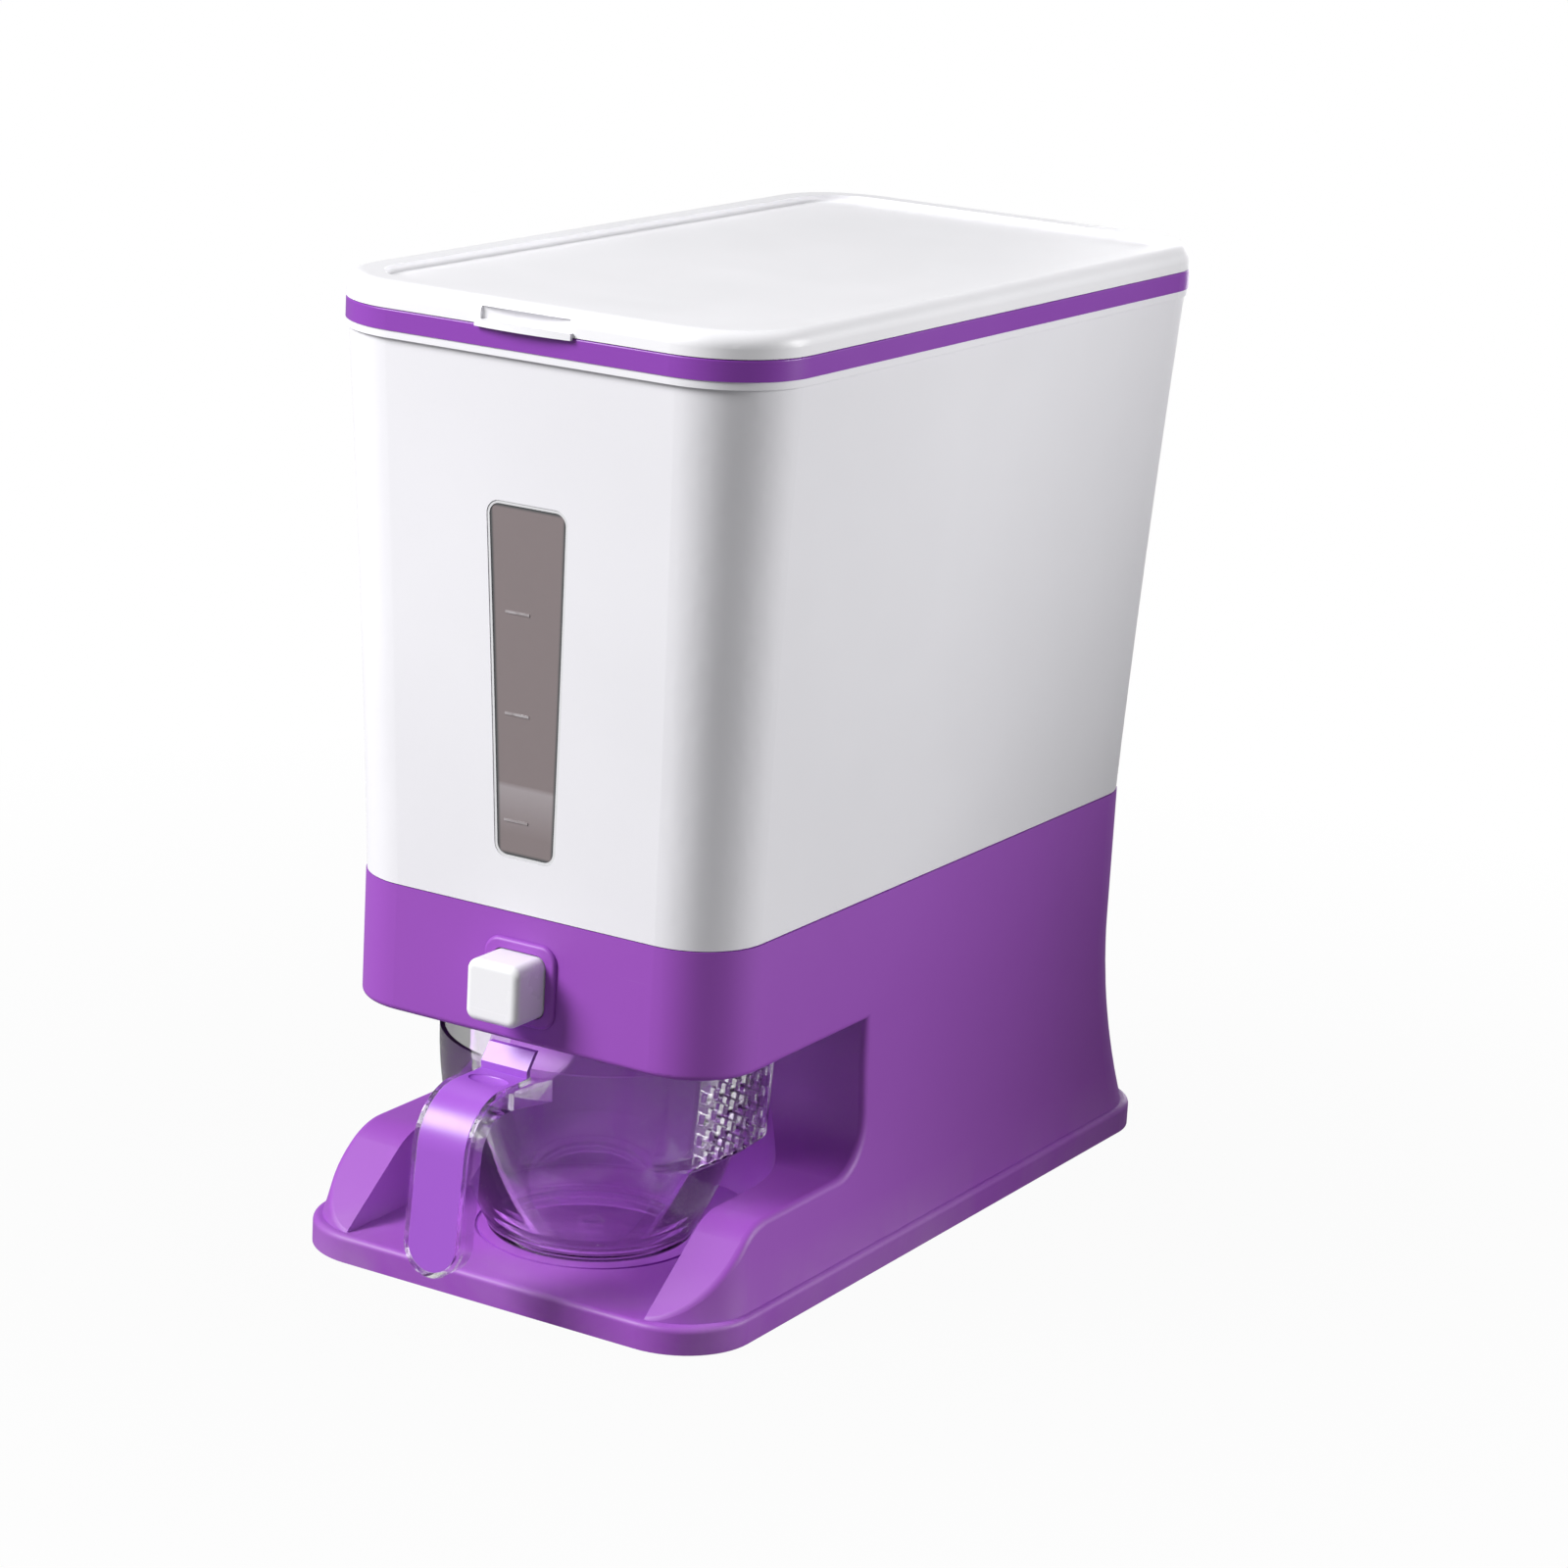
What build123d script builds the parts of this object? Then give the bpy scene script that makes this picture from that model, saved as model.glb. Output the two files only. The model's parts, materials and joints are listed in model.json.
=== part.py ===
"""Countertop rice dispenser: flared base with a cup bay, hopper, hinged lid, push button and clear jug."""
from build123d import *
import math
import os

# Outline of the standing foot and of the upright walls above it
foot_half_x = 101.0
foot_half_y = 187.0
foot_corner = 31.5
flare_side = 11.0
flare_front = 14.7
neck_half_x = foot_half_x - flare_side
neck_half_y = foot_half_y - flare_front
neck_corner = 30.0
flare_top = 100.0
flange_height = 12.0
flange_round = 2.5
rim_clearance = 0.8
shell_wall = 2.4

# Outline of the collar and lid, the widest part at the top
collar_side = 10.6
collar_front = 14.8
collar_half_x = neck_half_x + collar_side
collar_half_y = neck_half_y + collar_front
collar_corner = 37.2

# Levels of the base
chin_z = 105.0
deck_top_z = 149.0
deck_thick = 2.5
joint_z = 156.6
joint_gap = 0.4
floor_z = 12.0
chin_rim = 3.6
plate_z = 2.0
plate_thick = 2.5
plate_gap = 0.4
plate_recess = 1.2

# Bay for the jug, its depths counted from the chin's face
chin_face_y = -neck_half_y
jug_setback = 57.3
jug_y = chin_face_y + jug_setback
bay_depth = 114.3
bay_back_y = chin_face_y + bay_depth
bay_back_round = 22.0
arm_z = 44.0
arm_setback = 38.3
arm_front_y = chin_face_y + arm_setback
arm_round = 26.0
arm_slope = 38.0
pocket_half = 71.0
niche_step = 4.0
niche_centre_y = jug_y + niche_step
chin_round = 2.5
arm_edge_round = 3.0

# Hopper
hopper_wall = 2.2
foot_side_step = 0.5
foot_front_step = 0.3
hopper_foot_half_x = neck_half_x - foot_side_step
hopper_foot_half_y = neck_half_y - foot_front_step
hopper_foot_corner = neck_corner - foot_side_step
hopper_top_z = 374.0
lip_height = 3.0
lip_step = 0.4
lip_half_x = collar_half_x - lip_step
lip_half_y = collar_half_y - lip_step
lip_corner = collar_corner - lip_step
top_side_step = 1.3
top_front_step = 1.8
top_corner_step = 2.8
hopper_top_half_x = lip_half_x - top_side_step
hopper_top_half_y = lip_half_y - top_front_step
hopper_top_corner = lip_corner - top_corner_step
hopper_bow = 0.9
skirt_wall = 2.0
root_height = 4.0
slip = 0.3

# Window in the front wall
window_top_z = 317.5
window_bottom_z = 179.5
window_top_width = 35.0
window_bottom_width = 25.5
window_round = 4.5
window_thick = 1.6
window_recess = 0.5
window_seal_width = 1.2
window_seal_fit = 0.1
window_seal_inset = 0.25
mark_heights = [193.5, 236.0, 276.0]
mark_left = -10.0
mark_length = 11.0
mark_width = 1.0
mark_depth = 0.3

# Funnel under the rice
outlet_y = jug_y
outlet_width = 44.0
outlet_length = 12.0
funnel_drop = 2.5
funnel_rear_angle = 27.0
funnel_side_angle = 38.0
funnel_height = 190.0
funnel_foot_thick = 2.0
funnel_foot_margin = 4.5

# Collar, lid and seal
collar_height = 8.0
collar_rim = 9.6
collar_mouth_half_x = collar_half_x - collar_rim
collar_mouth_half_y = collar_half_y - collar_rim
collar_mouth_corner = collar_corner - collar_rim
collar_skirt = 9.0
collar_skirt_wall = 2.0
collar_edge_round = 0.6
lid_gap = 0.3
lid_height = 9.8
lid_round = 6.0
lid_thick = 2.4
lid_border = 14.0
lid_recess = 2.8
lid_plug_gap = 2.6
lid_plug_wall = 2.2
lid_plug_depth = 7.5
panel_round = 1.7
groove_lift = 1.6
seal_height = 3.6
seal_groove = 0.6
seal_fit = 0.1
tab_half = 21.5
tab_reach = 3.4
tab_shoulder = 1.9
tab_thick = 2.6
tab_drop = 0.6
tab_root = 7.0
scoop_radius = 62.0
scoop_depth = 4.6
scoop_side = 1.5
scoop_top_rim = 3.2

# Hinge at the back of the collar
hinge_margin = 38.6
hinge_x = collar_half_x - hinge_margin
hinge_barrel = 20.0
hinge_ear = 5.0
hinge_radius = 3.2
hinge_out = 3.5
hinge_drop = 1.0
hinge_side_gap = 0.3
hinge_root_lift = 1.0
hinge_strap = 2.4
pin_radius = 1.5
pin_clearance = 0.05

# Button and its guide
button_width = 24.4
button_height = 24.8
button_z = 129.6
button_proud = 20.0
button_round = 3.0
button_corner = 4.4
button_gap = 0.5
button_wall = 2.0
button_travel = 14.0
button_flange = 3.0
button_flange_thick = 2.5
button_inner_corner = 2.0
bezel_margin = 4.0
bezel_proud = 1.8
bezel_corner = 7.0
bezel_sleeve_wall = 2.2
bezel_sleeve_length = 9.4
bezel_round = 1.6

# Slide gate under the funnel outlet
gate_thick = 2.5
gate_side = 3.0
gate_front_bar = 6.0
gate_lap = 4.0
tongue_half = 9.0
tongue_length = 14.0
link_half = 7.0
link_thick = 2.7
link_tail = 4.0
link_plate_half = 9.0
link_plate_low = 4.1
link_plate_high = 1.7
link_plate_thick = 2.5
link_pin_radius = 2.0
link_pin_head = 3.4
link_pin_head_height = 1.0
housing_top = 2.0
housing_bottom = 2.2
housing_side = 11.0
housing_slip = 0.1
housing_end = 2.4
housing_stop = 1.0
housing_nose = 17.0
housing_screw_row = 12.0
notch_margin = 0.8
passage_grow = 1.0

# Chute, cover under the chin and spring seat
chute_wall = 1.8
chute_flange = 5.0
chute_flange_thick = 2.0
chute_corner = 2.4
chute_foot_z = 101.0
cover_thick = 2.5
cover_lift = 0.3
seat_thick = 2.5
seat_half = 10.0
seat_gap = 1.0
seat_web = 2.0
seat_web_reach = 7.0
seat_web_height = 14.0
spigot_radius = 4.6
spigot_length = 4.0

# Return spring
spring_wire = 1.0
spring_radius = 6.6
spring_turns = 9
spring_steps = 4

# Screws
screw_radius = 1.5
screw_hole = 1.62
screw_head_radius = 3.0
screw_head_height = 2.0
slot_width = 0.8
slot_depth = 0.8
boss_radius = 4.2
deck_boss_radius = 3.2
deck_boss_height = 3.0
screw_tip_gap = 1.5
slot_reach = 2.1
plate_screw_length = 12.0
deck_screw_length = 12.0
cover_screw_length = 12.0
arm_screw_margin = 6.0
arm_screw_reach = 15.0
side_screw_margin = 1.0
side_screw_y = 5.0
rear_screw_margin = 14.3
arm_screw_x = neck_half_x - arm_screw_margin
side_screw_x = neck_half_x - side_screw_margin
rear_screw_y = neck_half_y - rear_screw_margin
arm_screw_y = jug_y - arm_screw_reach
plate_boss_spots = [(arm_screw_x, arm_screw_y), (side_screw_x, side_screw_y), (arm_screw_x, rear_screw_y)]
hopper_boss_side = 9.5
hopper_boss_front = 18.8
hopper_boss_x = neck_half_x - hopper_boss_side
hopper_boss_y = neck_half_y - hopper_boss_front
hopper_boss_height = 14.0
cover_boss_margin = 11.0
cover_boss_reach = 35.0
cover_boss_x = pocket_half - cover_boss_margin
cover_boss_front_y = jug_y - cover_boss_reach
cover_boss_rear_y = jug_y + cover_boss_reach

# Feet
foot_pad_radius = 9.0
foot_plug_radius = 3.0
foot_plug_clearance = 0.06
foot_pad_side = 31.0
foot_pad_front = 37.0
foot_pad_x = foot_half_x - foot_pad_side
foot_pad_y = foot_half_y - foot_pad_front
foot_pad_edge = 0.8

# Jug
jug_gap = 0.2
jug_foot_radius = 42.0
jug_foot_round = 3.0
jug_foot_recess = 0.8
jug_foot_ring = 5.0
jug_rim_z = 97.5
jug_side_room = 7.5
jug_rim_radius = pocket_half - jug_side_room
jug_front_y = jug_y - jug_rim_radius
jug_wall = 2.0
jug_floor = 2.4
jug_floor_round = 8.0
seat_ring_room = 3.0
seat_ring_radius = jug_foot_radius + seat_ring_room
seat_ring_width = 1.6
seat_ring_depth = 0.8

# Straining spout on the jug's side
spout_foot_z = 56.5
spout_foot_room = 5.0
spout_top_room = 2.5
spout_foot_x = pocket_half - spout_foot_room
spout_top_x = pocket_half - spout_top_room
spout_bow = 2.5
spout_half = 28.5
spout_root_bury = 9.5
spout_root_x = jug_rim_radius - spout_root_bury
spout_root_half = 33.5
spout_corner = 4.5
spout_foot_round = 4.0
hole_columns = 7
hole_rows = 4
hole_width = 3.4
hole_height = 4.6
hole_corner = 1.2
hole_pitch = 7.4
hole_row_pitch = 8.9
hole_top_z = 87.7

# Jug handle
handle_half = 13.0
handle_top_z = 95.0
handle_reach = 48.0
handle_front_y = jug_front_y - handle_reach
handle_lean_angle = 5.5
handle_depth = 9.0
handle_back = 2.0
handle_foot_z = 24.5
handle_bend = 24.0
handle_side = 2.0
handle_ledge = 2.5
handle_root_half = 20.0
handle_root_length = 14.0
handle_root_bury = 6.0
insert_slip = 0.25
insert_thick = 2.4
dimple_half_x = 8.8
dimple_half_y = 4.8
dimple_depth = 1.6
dimple_reach = 13.0
dimple_y = jug_front_y - dimple_reach
thumb_lean = 5.0
thumb_thick = 2.4
thumb_kink_z = 98.0
thumb_top_z = 104.6
thumb_gap = 0.3

# The row's origin lies under the middle of the whole footprint, jug handle and hinge included
hinge_y = collar_half_y + hinge_out
row_shift = -(handle_front_y + hinge_y + hinge_radius) / 2


def outline(half_x, half_y, corner, z):
    """Rounded rectangle on the level z."""
    return Plane.XY.offset(z) * RectangleRounded(2 * half_x, 2 * half_y, corner)


def slab(half_x, half_y, corner, z_low, z_high):
    """Upright solid with a rounded rectangle as its plan."""
    return extrude(outline(half_x, half_y, corner, z_low), z_high - z_low)


def block(x_low, x_high, y_low, y_high, z_low, z_high):
    """Box between two corners."""
    size = Box(x_high - x_low, y_high - y_low, z_high - z_low)
    return Pos((x_low + x_high) / 2, (y_low + y_high) / 2, (z_low + z_high) / 2) * size


def post(x, y, z_low, z_high, radius):
    """Upright cylinder."""
    return Pos(x, y, (z_low + z_high) / 2) * Cylinder(radius, z_high - z_low)


def rod_x(x_low, x_high, y, z, radius):
    """Cylinder along X."""
    return Pos((x_low + x_high) / 2, y, z) * Rot(0, 90, 0) * Cylinder(radius, x_high - x_low)


def rod_y(x, y_low, y_high, z, radius):
    """Cylinder along Y."""
    return Pos(x, (y_low + y_high) / 2, z) * Rot(90, 0, 0) * Cylinder(radius, y_high - y_low)


def flare(z):
    """Share of the foot's spread at a level: a parabola that leaves the upright wall at flare_top."""
    return max(0.0, (flare_top - z) / flare_top) ** 2


def base_section(z, inset):
    """Plan of the base at a level, drawn in by inset."""
    spread = flare(z)
    half_x = neck_half_x + (foot_half_x - neck_half_x) * spread
    half_y = neck_half_y + (foot_half_y - neck_half_y) * spread
    corner = neck_corner + (foot_corner - neck_corner) * spread
    return outline(half_x - inset, half_y - inset, corner - inset, z)


def base_body(inset, z_low, z_high):
    """Solid of the base's outer form, drawn in by inset."""
    levels = [z_low, 25.0, 50.0, 75.0, flare_top]
    lower = loft([base_section(z, inset) for z in levels])
    upper = extrude(base_section(flare_top, inset), z_high - flare_top)
    return lower + upper


def bay_profile(grow, top_z):
    """Side view of the space over the arms, carried across the whole width."""
    back = bay_back_y + grow
    low = arm_z - grow
    turn = math.radians(arm_slope)
    bend = arm_round + grow
    bend_y = arm_front_y - bend * math.sin(turn)
    bend_z = low - bend * (1 - math.cos(turn))
    end_z = floor_z - grow
    end_y = bend_y - (bend_z - end_z) / math.tan(turn)
    front = -foot_half_y - 20
    middle = math.radians(arm_slope / 2)
    middle_y = arm_front_y - bend * math.sin(middle)
    middle_z = low - bend * (1 - math.cos(middle))
    back_round = bay_back_round - grow
    corner_y = back - back_round * (1 - math.cos(math.radians(45)))
    corner_z = low + back_round * (1 - math.sin(math.radians(45)))
    edges = [
        Line((back, top_z), (back, low + back_round)),
        ThreePointArc((back, low + back_round), (corner_y, corner_z), (back - back_round, low)),
        Line((back - back_round, low), (arm_front_y, low)),
        ThreePointArc((arm_front_y, low), (middle_y, middle_z), (bend_y, bend_z)),
        Line((bend_y, bend_z), (end_y, end_z)),
        Line((end_y, end_z), (front, end_z)),
        Line((front, end_z), (front, top_z)),
        Line((front, top_z), (back, top_z)),
    ]
    face = Plane.YZ * make_face(edges)
    return extrude(face, 2 * foot_half_x, both=True)


def bay_pocket(grow, top_z):
    """Straight-sided pocket for the jug with a round back."""
    low = floor_z - grow
    half = pocket_half + grow
    front = block(-half, half, -foot_half_y - 20, niche_centre_y, low, top_z)
    back = post(0, niche_centre_y, low, top_z, half)
    return front + back


def bay(grow, top_z):
    return bay_profile(grow, top_z) + bay_pocket(grow, top_z)


def screw(x, y, seat_z, length):
    """Pan head screw driven upwards, its head under seat_z."""
    head = post(x, y, seat_z - screw_head_height, seat_z, screw_head_radius)
    shank = post(x, y, seat_z, seat_z + length, screw_radius)
    arm = slot_reach
    low = seat_z - screw_head_height
    slot_a = block(x - arm, x + arm, y - slot_width / 2, y + slot_width / 2, low, low + slot_depth)
    slot_b = block(x - slot_width / 2, x + slot_width / 2, y - arm, y + arm, low, low + slot_depth)
    return head + shank - slot_a - slot_b


def mirrored(points):
    """The same spots on both sides of the middle plane."""
    return [(side * x, y) for x, y in points for side in (-1, 1)]


def save(shape, node):
    """Write one node in the row's frame."""
    export_step(Pos(0, row_shift, 0) * shape, "parts/" + node + ".step")


# Gate heights, from the deck down
housing_top_z = deck_top_z - deck_thick
gate_top_z = housing_top_z - housing_top - housing_slip
gate_low_z = gate_top_z - gate_thick
housing_floor_z = gate_low_z - housing_slip
housing_low_z = housing_floor_z - housing_bottom

# Passage of the rice from the funnel's throat downwards
outlet_z = deck_top_z + funnel_foot_thick
throat_half_x = outlet_width / 2
throat_half_y = outlet_length / 2
passage_half_x = throat_half_x + passage_grow
passage_half_y = throat_half_y + passage_grow

# Chin cover levels
cover_low_z = chin_z + cover_lift
cover_top_z = cover_low_z + cover_thick

# Button, guide and spring seat along the depth
button_face_y = chin_face_y - button_proud
sleeve_back_y = chin_face_y + bezel_sleeve_length
flange_front_y = sleeve_back_y + slip
flange_back_y = flange_front_y + button_flange_thick
link_plate_back_y = flange_back_y + link_plate_thick
seat_face_y = link_plate_back_y + button_travel + seat_gap

# Gate along the depth, in its shut place
gate_hole_y = outlet_y - button_travel
gate_front_y = gate_hole_y - throat_half_y - gate_front_bar
gate_rear_y = outlet_y + throat_half_y + gate_lap
link_pin_y = gate_front_y - tongue_length / 2
link_tail_y = link_pin_y + link_tail
gate_half_x = throat_half_x + gate_side

# Collar, lid and hinge levels
collar_low_z = hopper_top_z + lip_height
collar_top_z = collar_low_z + collar_height
lid_low_z = collar_top_z + lid_gap
lid_top_z = lid_low_z + lid_height
hinge_z = collar_top_z - hinge_drop
plug_low_z = collar_top_z - lid_plug_depth
groove_low_z = plug_low_z + groove_lift
groove_high_z = groove_low_z + seal_height

# Jug and handle places
jug_foot_z = floor_z + jug_gap
insert_half = handle_half - handle_side - insert_slip
thumb_back_y = jug_front_y - thumb_gap

# Screw spots
plate_spots = mirrored(plate_boss_spots)
foot_spots = mirrored([(foot_pad_x, foot_pad_y), (foot_pad_x, -foot_pad_y)])
hopper_spots = mirrored([(hopper_boss_x, hopper_boss_y), (hopper_boss_x, -hopper_boss_y)])
cover_spots = mirrored([(cover_boss_x, cover_boss_front_y), (cover_boss_x, cover_boss_rear_y)])
housing_screw_x = gate_half_x + housing_slip + housing_side / 2
housing_front_row = outlet_y - housing_screw_row
housing_rear_row = outlet_y + housing_screw_row
housing_spots = mirrored([(housing_screw_x, housing_front_row), (housing_screw_x, housing_rear_row)])

# How far cutting bodies run past the faces that they cut
over = 1.0


def bores(spots, z_low, z_high, radius):
    """Upright holes at several spots."""
    return [post(x, y, z_low, z_high, radius) for x, y in spots]


def passage(half_x, half_y, z_low, z_high):
    """Rectangular passage round the outlet's axis."""
    return block(-half_x, half_x, outlet_y - half_y, outlet_y + half_y, z_low, z_high)


def square_bar(half_x, half_z, corner, y_low, y_high):
    """Bar along Y with the button's rounded square section."""
    face = Plane.XZ * RectangleRounded(2 * half_x, 2 * half_z, corner)
    return Pos(0, y_high, button_z) * extrude(face, y_high - y_low)


def is_arm_edge(edge):
    """Whether an edge runs where an arm's top meets the outer wall."""
    start = edge @ 0
    end = edge @ 1
    centre = edge.center()
    runs_on = abs(end.Z - start.Z) < 2 * abs(end.Y - start.Y)
    outside = abs(centre.X) > pocket_half + arm_edge_round
    above_floor = centre.Z > floor_z + over
    below_chin = centre.Z < chin_z - chin_round - over
    in_bay = centre.Y < bay_back_y
    curved = edge.geom_type == GeomType.BSPLINE
    return curved and runs_on and outside and above_floor and below_chin and in_bay


def is_chin_edge(edge):
    """Whether an edge is one of the chin's lower outer edges."""
    centre = edge.center()
    return abs(centre.Z - chin_z) < slip and centre.Y < bay_back_y - over


def build_base_shell():
    """Flared base with its chin, arms, jug bay, deck and screw bosses, moulded in one."""
    foot = slab(foot_half_x, foot_half_y, foot_corner, rim_clearance, flange_height)
    foot = fillet(foot.edges().group_by(Axis.Z)[-1], flange_round)
    form = base_body(0, rim_clearance, joint_z) + foot - bay(0, chin_z)
    form = fillet(form.edges().filter_by(is_chin_edge), chin_round)
    form = fillet(form.edges().filter_by(is_arm_edge), arm_edge_round)
    cover_pocket_z = cover_top_z + slip
    hollow = base_body(shell_wall, -over, joint_z + over) - bay(shell_wall, cover_pocket_z)
    pocket = base_body(chin_rim, -over, cover_pocket_z) & bay(0, cover_pocket_z)
    pocket -= block(-foot_half_x, foot_half_x, -foot_half_y, foot_half_y, -2 * over, chin_z - over)
    shell = form - hollow - pocket
    shell += extrude(base_section(deck_top_z, shell_wall / 2), -deck_thick)
    room = base_body(shell_wall / 2, -over, joint_z) - bay(shell_wall / 2, cover_top_z)
    boss_low_z = plate_z + plate_thick
    for boss in bores(plate_spots, boss_low_z, arm_z + bay_back_round, boss_radius):
        shell += boss & room
    for boss in bores(cover_spots, cover_top_z, housing_top_z, boss_radius):
        shell += boss & room
    for boss in bores(housing_spots, deck_top_z, deck_top_z + deck_boss_height, deck_boss_radius):
        shell += boss
    shell -= bores(plate_spots, 0, boss_low_z + plate_screw_length, screw_hole)
    shell -= bores(cover_spots, cover_low_z, cover_low_z + cover_screw_length + screw_tip_gap, screw_hole)
    shell -= bores(housing_spots, housing_low_z, deck_top_z + deck_boss_height + over, screw_hole)
    shell -= bores(hopper_spots, housing_low_z, deck_top_z + over, screw_hole)
    shell -= passage(throat_half_x, throat_half_y, housing_top_z - over, deck_top_z + over)
    hole_x = button_width / 2 + button_gap + bezel_sleeve_wall + insert_slip
    hole_z = button_height / 2 + button_gap + bezel_sleeve_wall + insert_slip
    shell -= square_bar(hole_x, hole_z, button_corner + bezel_sleeve_wall, chin_face_y - over, sleeve_back_y)
    ring = post(0, jug_y, floor_z - seat_ring_depth, floor_z + over, seat_ring_radius + seat_ring_width)
    ring -= post(0, jug_y, floor_z - seat_ring_depth, floor_z + over, seat_ring_radius)
    return shell - ring


def build_base_plate():
    """Flat cover under the base, with recesses for the screw heads and holes for the feet."""
    plate = extrude(base_section(plate_z + plate_thick, shell_wall + plate_gap), -plate_thick)
    plate -= bores(plate_spots, 0, plate_z + plate_recess, screw_head_radius + slip)
    plate -= bores(plate_spots, 0, plate_z + plate_thick + over, screw_hole)
    plate -= bores(foot_spots, 0, plate_z + plate_thick + over, foot_plug_radius + foot_plug_clearance)
    return plate


def build_rubber_feet():
    """Four pads with plugs pushed through the base plate."""
    feet = []
    for x, y in foot_spots:
        pad = post(x, y, 0, plate_z, foot_pad_radius)
        pad = chamfer(pad.edges().group_by(Axis.Z)[0], foot_pad_edge)
        feet.append(pad + post(x, y, plate_z, plate_z + plate_thick, foot_plug_radius))
    return Compound(feet)


def screw_group(spots, seat_z, length):
    """Identical screws driven upwards from one level."""
    return Compound([screw(x, y, seat_z, length) for x, y in spots])


def hopper_section(z, inset):
    """Plan of the hopper wall at a level, drawn in by inset: it widens upwards and bows in a little."""
    foot_z = joint_z + joint_gap
    share = (z - foot_z) / (hopper_top_z - foot_z)
    bow = 4 * hopper_bow * share * (1 - share)
    half_x = hopper_foot_half_x + (hopper_top_half_x - hopper_foot_half_x) * share - bow
    half_y = hopper_foot_half_y + (hopper_top_half_y - hopper_foot_half_y) * share - bow
    corner = hopper_foot_corner + (hopper_top_corner - hopper_foot_corner) * share - bow
    return outline(half_x - inset, half_y - inset, corner - inset, z)


def hopper_form(inset, below, above):
    """Solid inside the hopper's outer face, drawn in by inset and run on past both ends."""
    foot_z = joint_z + joint_gap
    rise = (hopper_top_z - foot_z) / 4
    solid = loft([hopper_section(foot_z + rise * step, inset) for step in range(5)])
    if below:
        solid += extrude(hopper_section(foot_z, inset), -below)
    if above:
        solid += extrude(hopper_section(hopper_top_z, inset), above)
    return solid


def window_prism(grow):
    """Tapered round-cornered bar through the front wall."""
    top = window_top_z + grow
    low = window_bottom_z - grow
    top_half = window_top_width / 2 + grow
    low_half = window_bottom_width / 2 + grow
    points = [(-low_half, low), (low_half, low), (top_half, top), (-top_half, top)]
    face = make_face(Polyline(*points, close=True))
    face = Plane.XZ * fillet(face.vertices(), window_round + grow)
    return extrude(face, foot_half_y)


def build_hopper():
    """White hopper: tapered wall, skirt inside the base, lip under the collar and window opening."""
    foot_z = joint_z + joint_gap
    root_z = foot_z + root_height
    wall = hopper_form(0, 0, 0) - hopper_form(hopper_wall, 0, 0)
    lip = slab(lip_half_x, lip_half_y, lip_corner, hopper_top_z, collar_low_z)
    lip -= extrude(hopper_section(hopper_top_z, hopper_wall), lip_height)
    skirt_form = extrude(base_section(joint_z, shell_wall + slip), deck_top_z - joint_z)
    skirt_form += extrude(base_section(joint_z, shell_wall + slip), joint_gap)
    root_form = hopper_form(0, 0, 0) & slab(foot_half_x, foot_half_y, foot_corner, foot_z, root_z)
    bore = extrude(base_section(deck_top_z, shell_wall + slip + skirt_wall), root_z - deck_top_z)
    body = wall + lip + (skirt_form + root_form - bore)
    room = skirt_form + hopper_form(0, 0, 0)
    for boss in bores(hopper_spots, deck_top_z, deck_top_z + hopper_boss_height, boss_radius):
        body += boss & room
    body -= bores(hopper_spots, deck_top_z, housing_top_z + deck_screw_length + screw_tip_gap, screw_hole)
    return body - window_prism(window_seal_width)


def build_window():
    """Pane that follows the front wall, with three raised level marks."""
    band = hopper_form(window_recess, 0, 0) - hopper_form(window_recess + window_thick, 0, 0)
    pane = band & window_prism(-slip / 2)
    skin = hopper_form(window_recess - mark_depth, 0, 0)
    skin -= hopper_form(window_recess + mark_depth, 0, 0)
    for height in mark_heights:
        low = height - mark_width / 2
        bar = block(mark_left, mark_left + mark_length, -foot_half_y, 0, low, low + mark_width)
        pane += bar & skin
    return pane


def build_window_seal():
    """Thin frame between pane and wall."""
    band = hopper_form(window_seal_inset, 0, 0) - hopper_form(hopper_wall, 0, 0)
    ring = window_prism(window_seal_width - window_seal_fit) - window_prism(0)
    return band & ring


def build_funnel():
    """Sloping floor of the hopper, its front slope ending at the window's lower edge."""
    front_y = outlet_y - throat_half_y
    rear_y = outlet_y + throat_half_y
    wall_y = hopper_wall - hopper_foot_half_y
    front_rise = window_bottom_z - window_seal_width - outlet_z
    reach_front = funnel_height * (front_y - wall_y) / front_rise
    reach_rear = funnel_height / math.tan(math.radians(funnel_rear_angle))
    reach_side = funnel_height / math.tan(math.radians(funnel_side_angle))
    mouth_y = (front_y - reach_front + rear_y + reach_rear) / 2
    mouth_length = rear_y + reach_rear - front_y + reach_front
    throat = Pos(0, outlet_y, outlet_z) * Rectangle(outlet_width, outlet_length)
    mouth = Rectangle(outlet_width + 2 * reach_side, mouth_length)
    mouth = Pos(0, mouth_y, outlet_z + funnel_height) * mouth
    grain_room = loft([throat, mouth], ruled=True)
    sheet = Pos(0, 0, -funnel_drop) * grain_room - grain_room
    sheet = sheet & hopper_form(hopper_wall + slip, joint_z + joint_gap - deck_top_z, 0)
    foot_x = throat_half_x + funnel_foot_margin
    foot = passage(foot_x, throat_half_y + funnel_foot_margin, deck_top_z, outlet_z)
    return sheet + foot - passage(throat_half_x, throat_half_y, deck_top_z - over, outlet_z + over)


def barrel_spans(centre):
    """X ranges of the two ears beside one hinge barrel."""
    reach = hinge_barrel / 2 + hinge_side_gap
    left = (centre - reach - hinge_ear, centre - reach)
    right = (centre + reach, centre + reach + hinge_ear)
    return [left, right]


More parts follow.
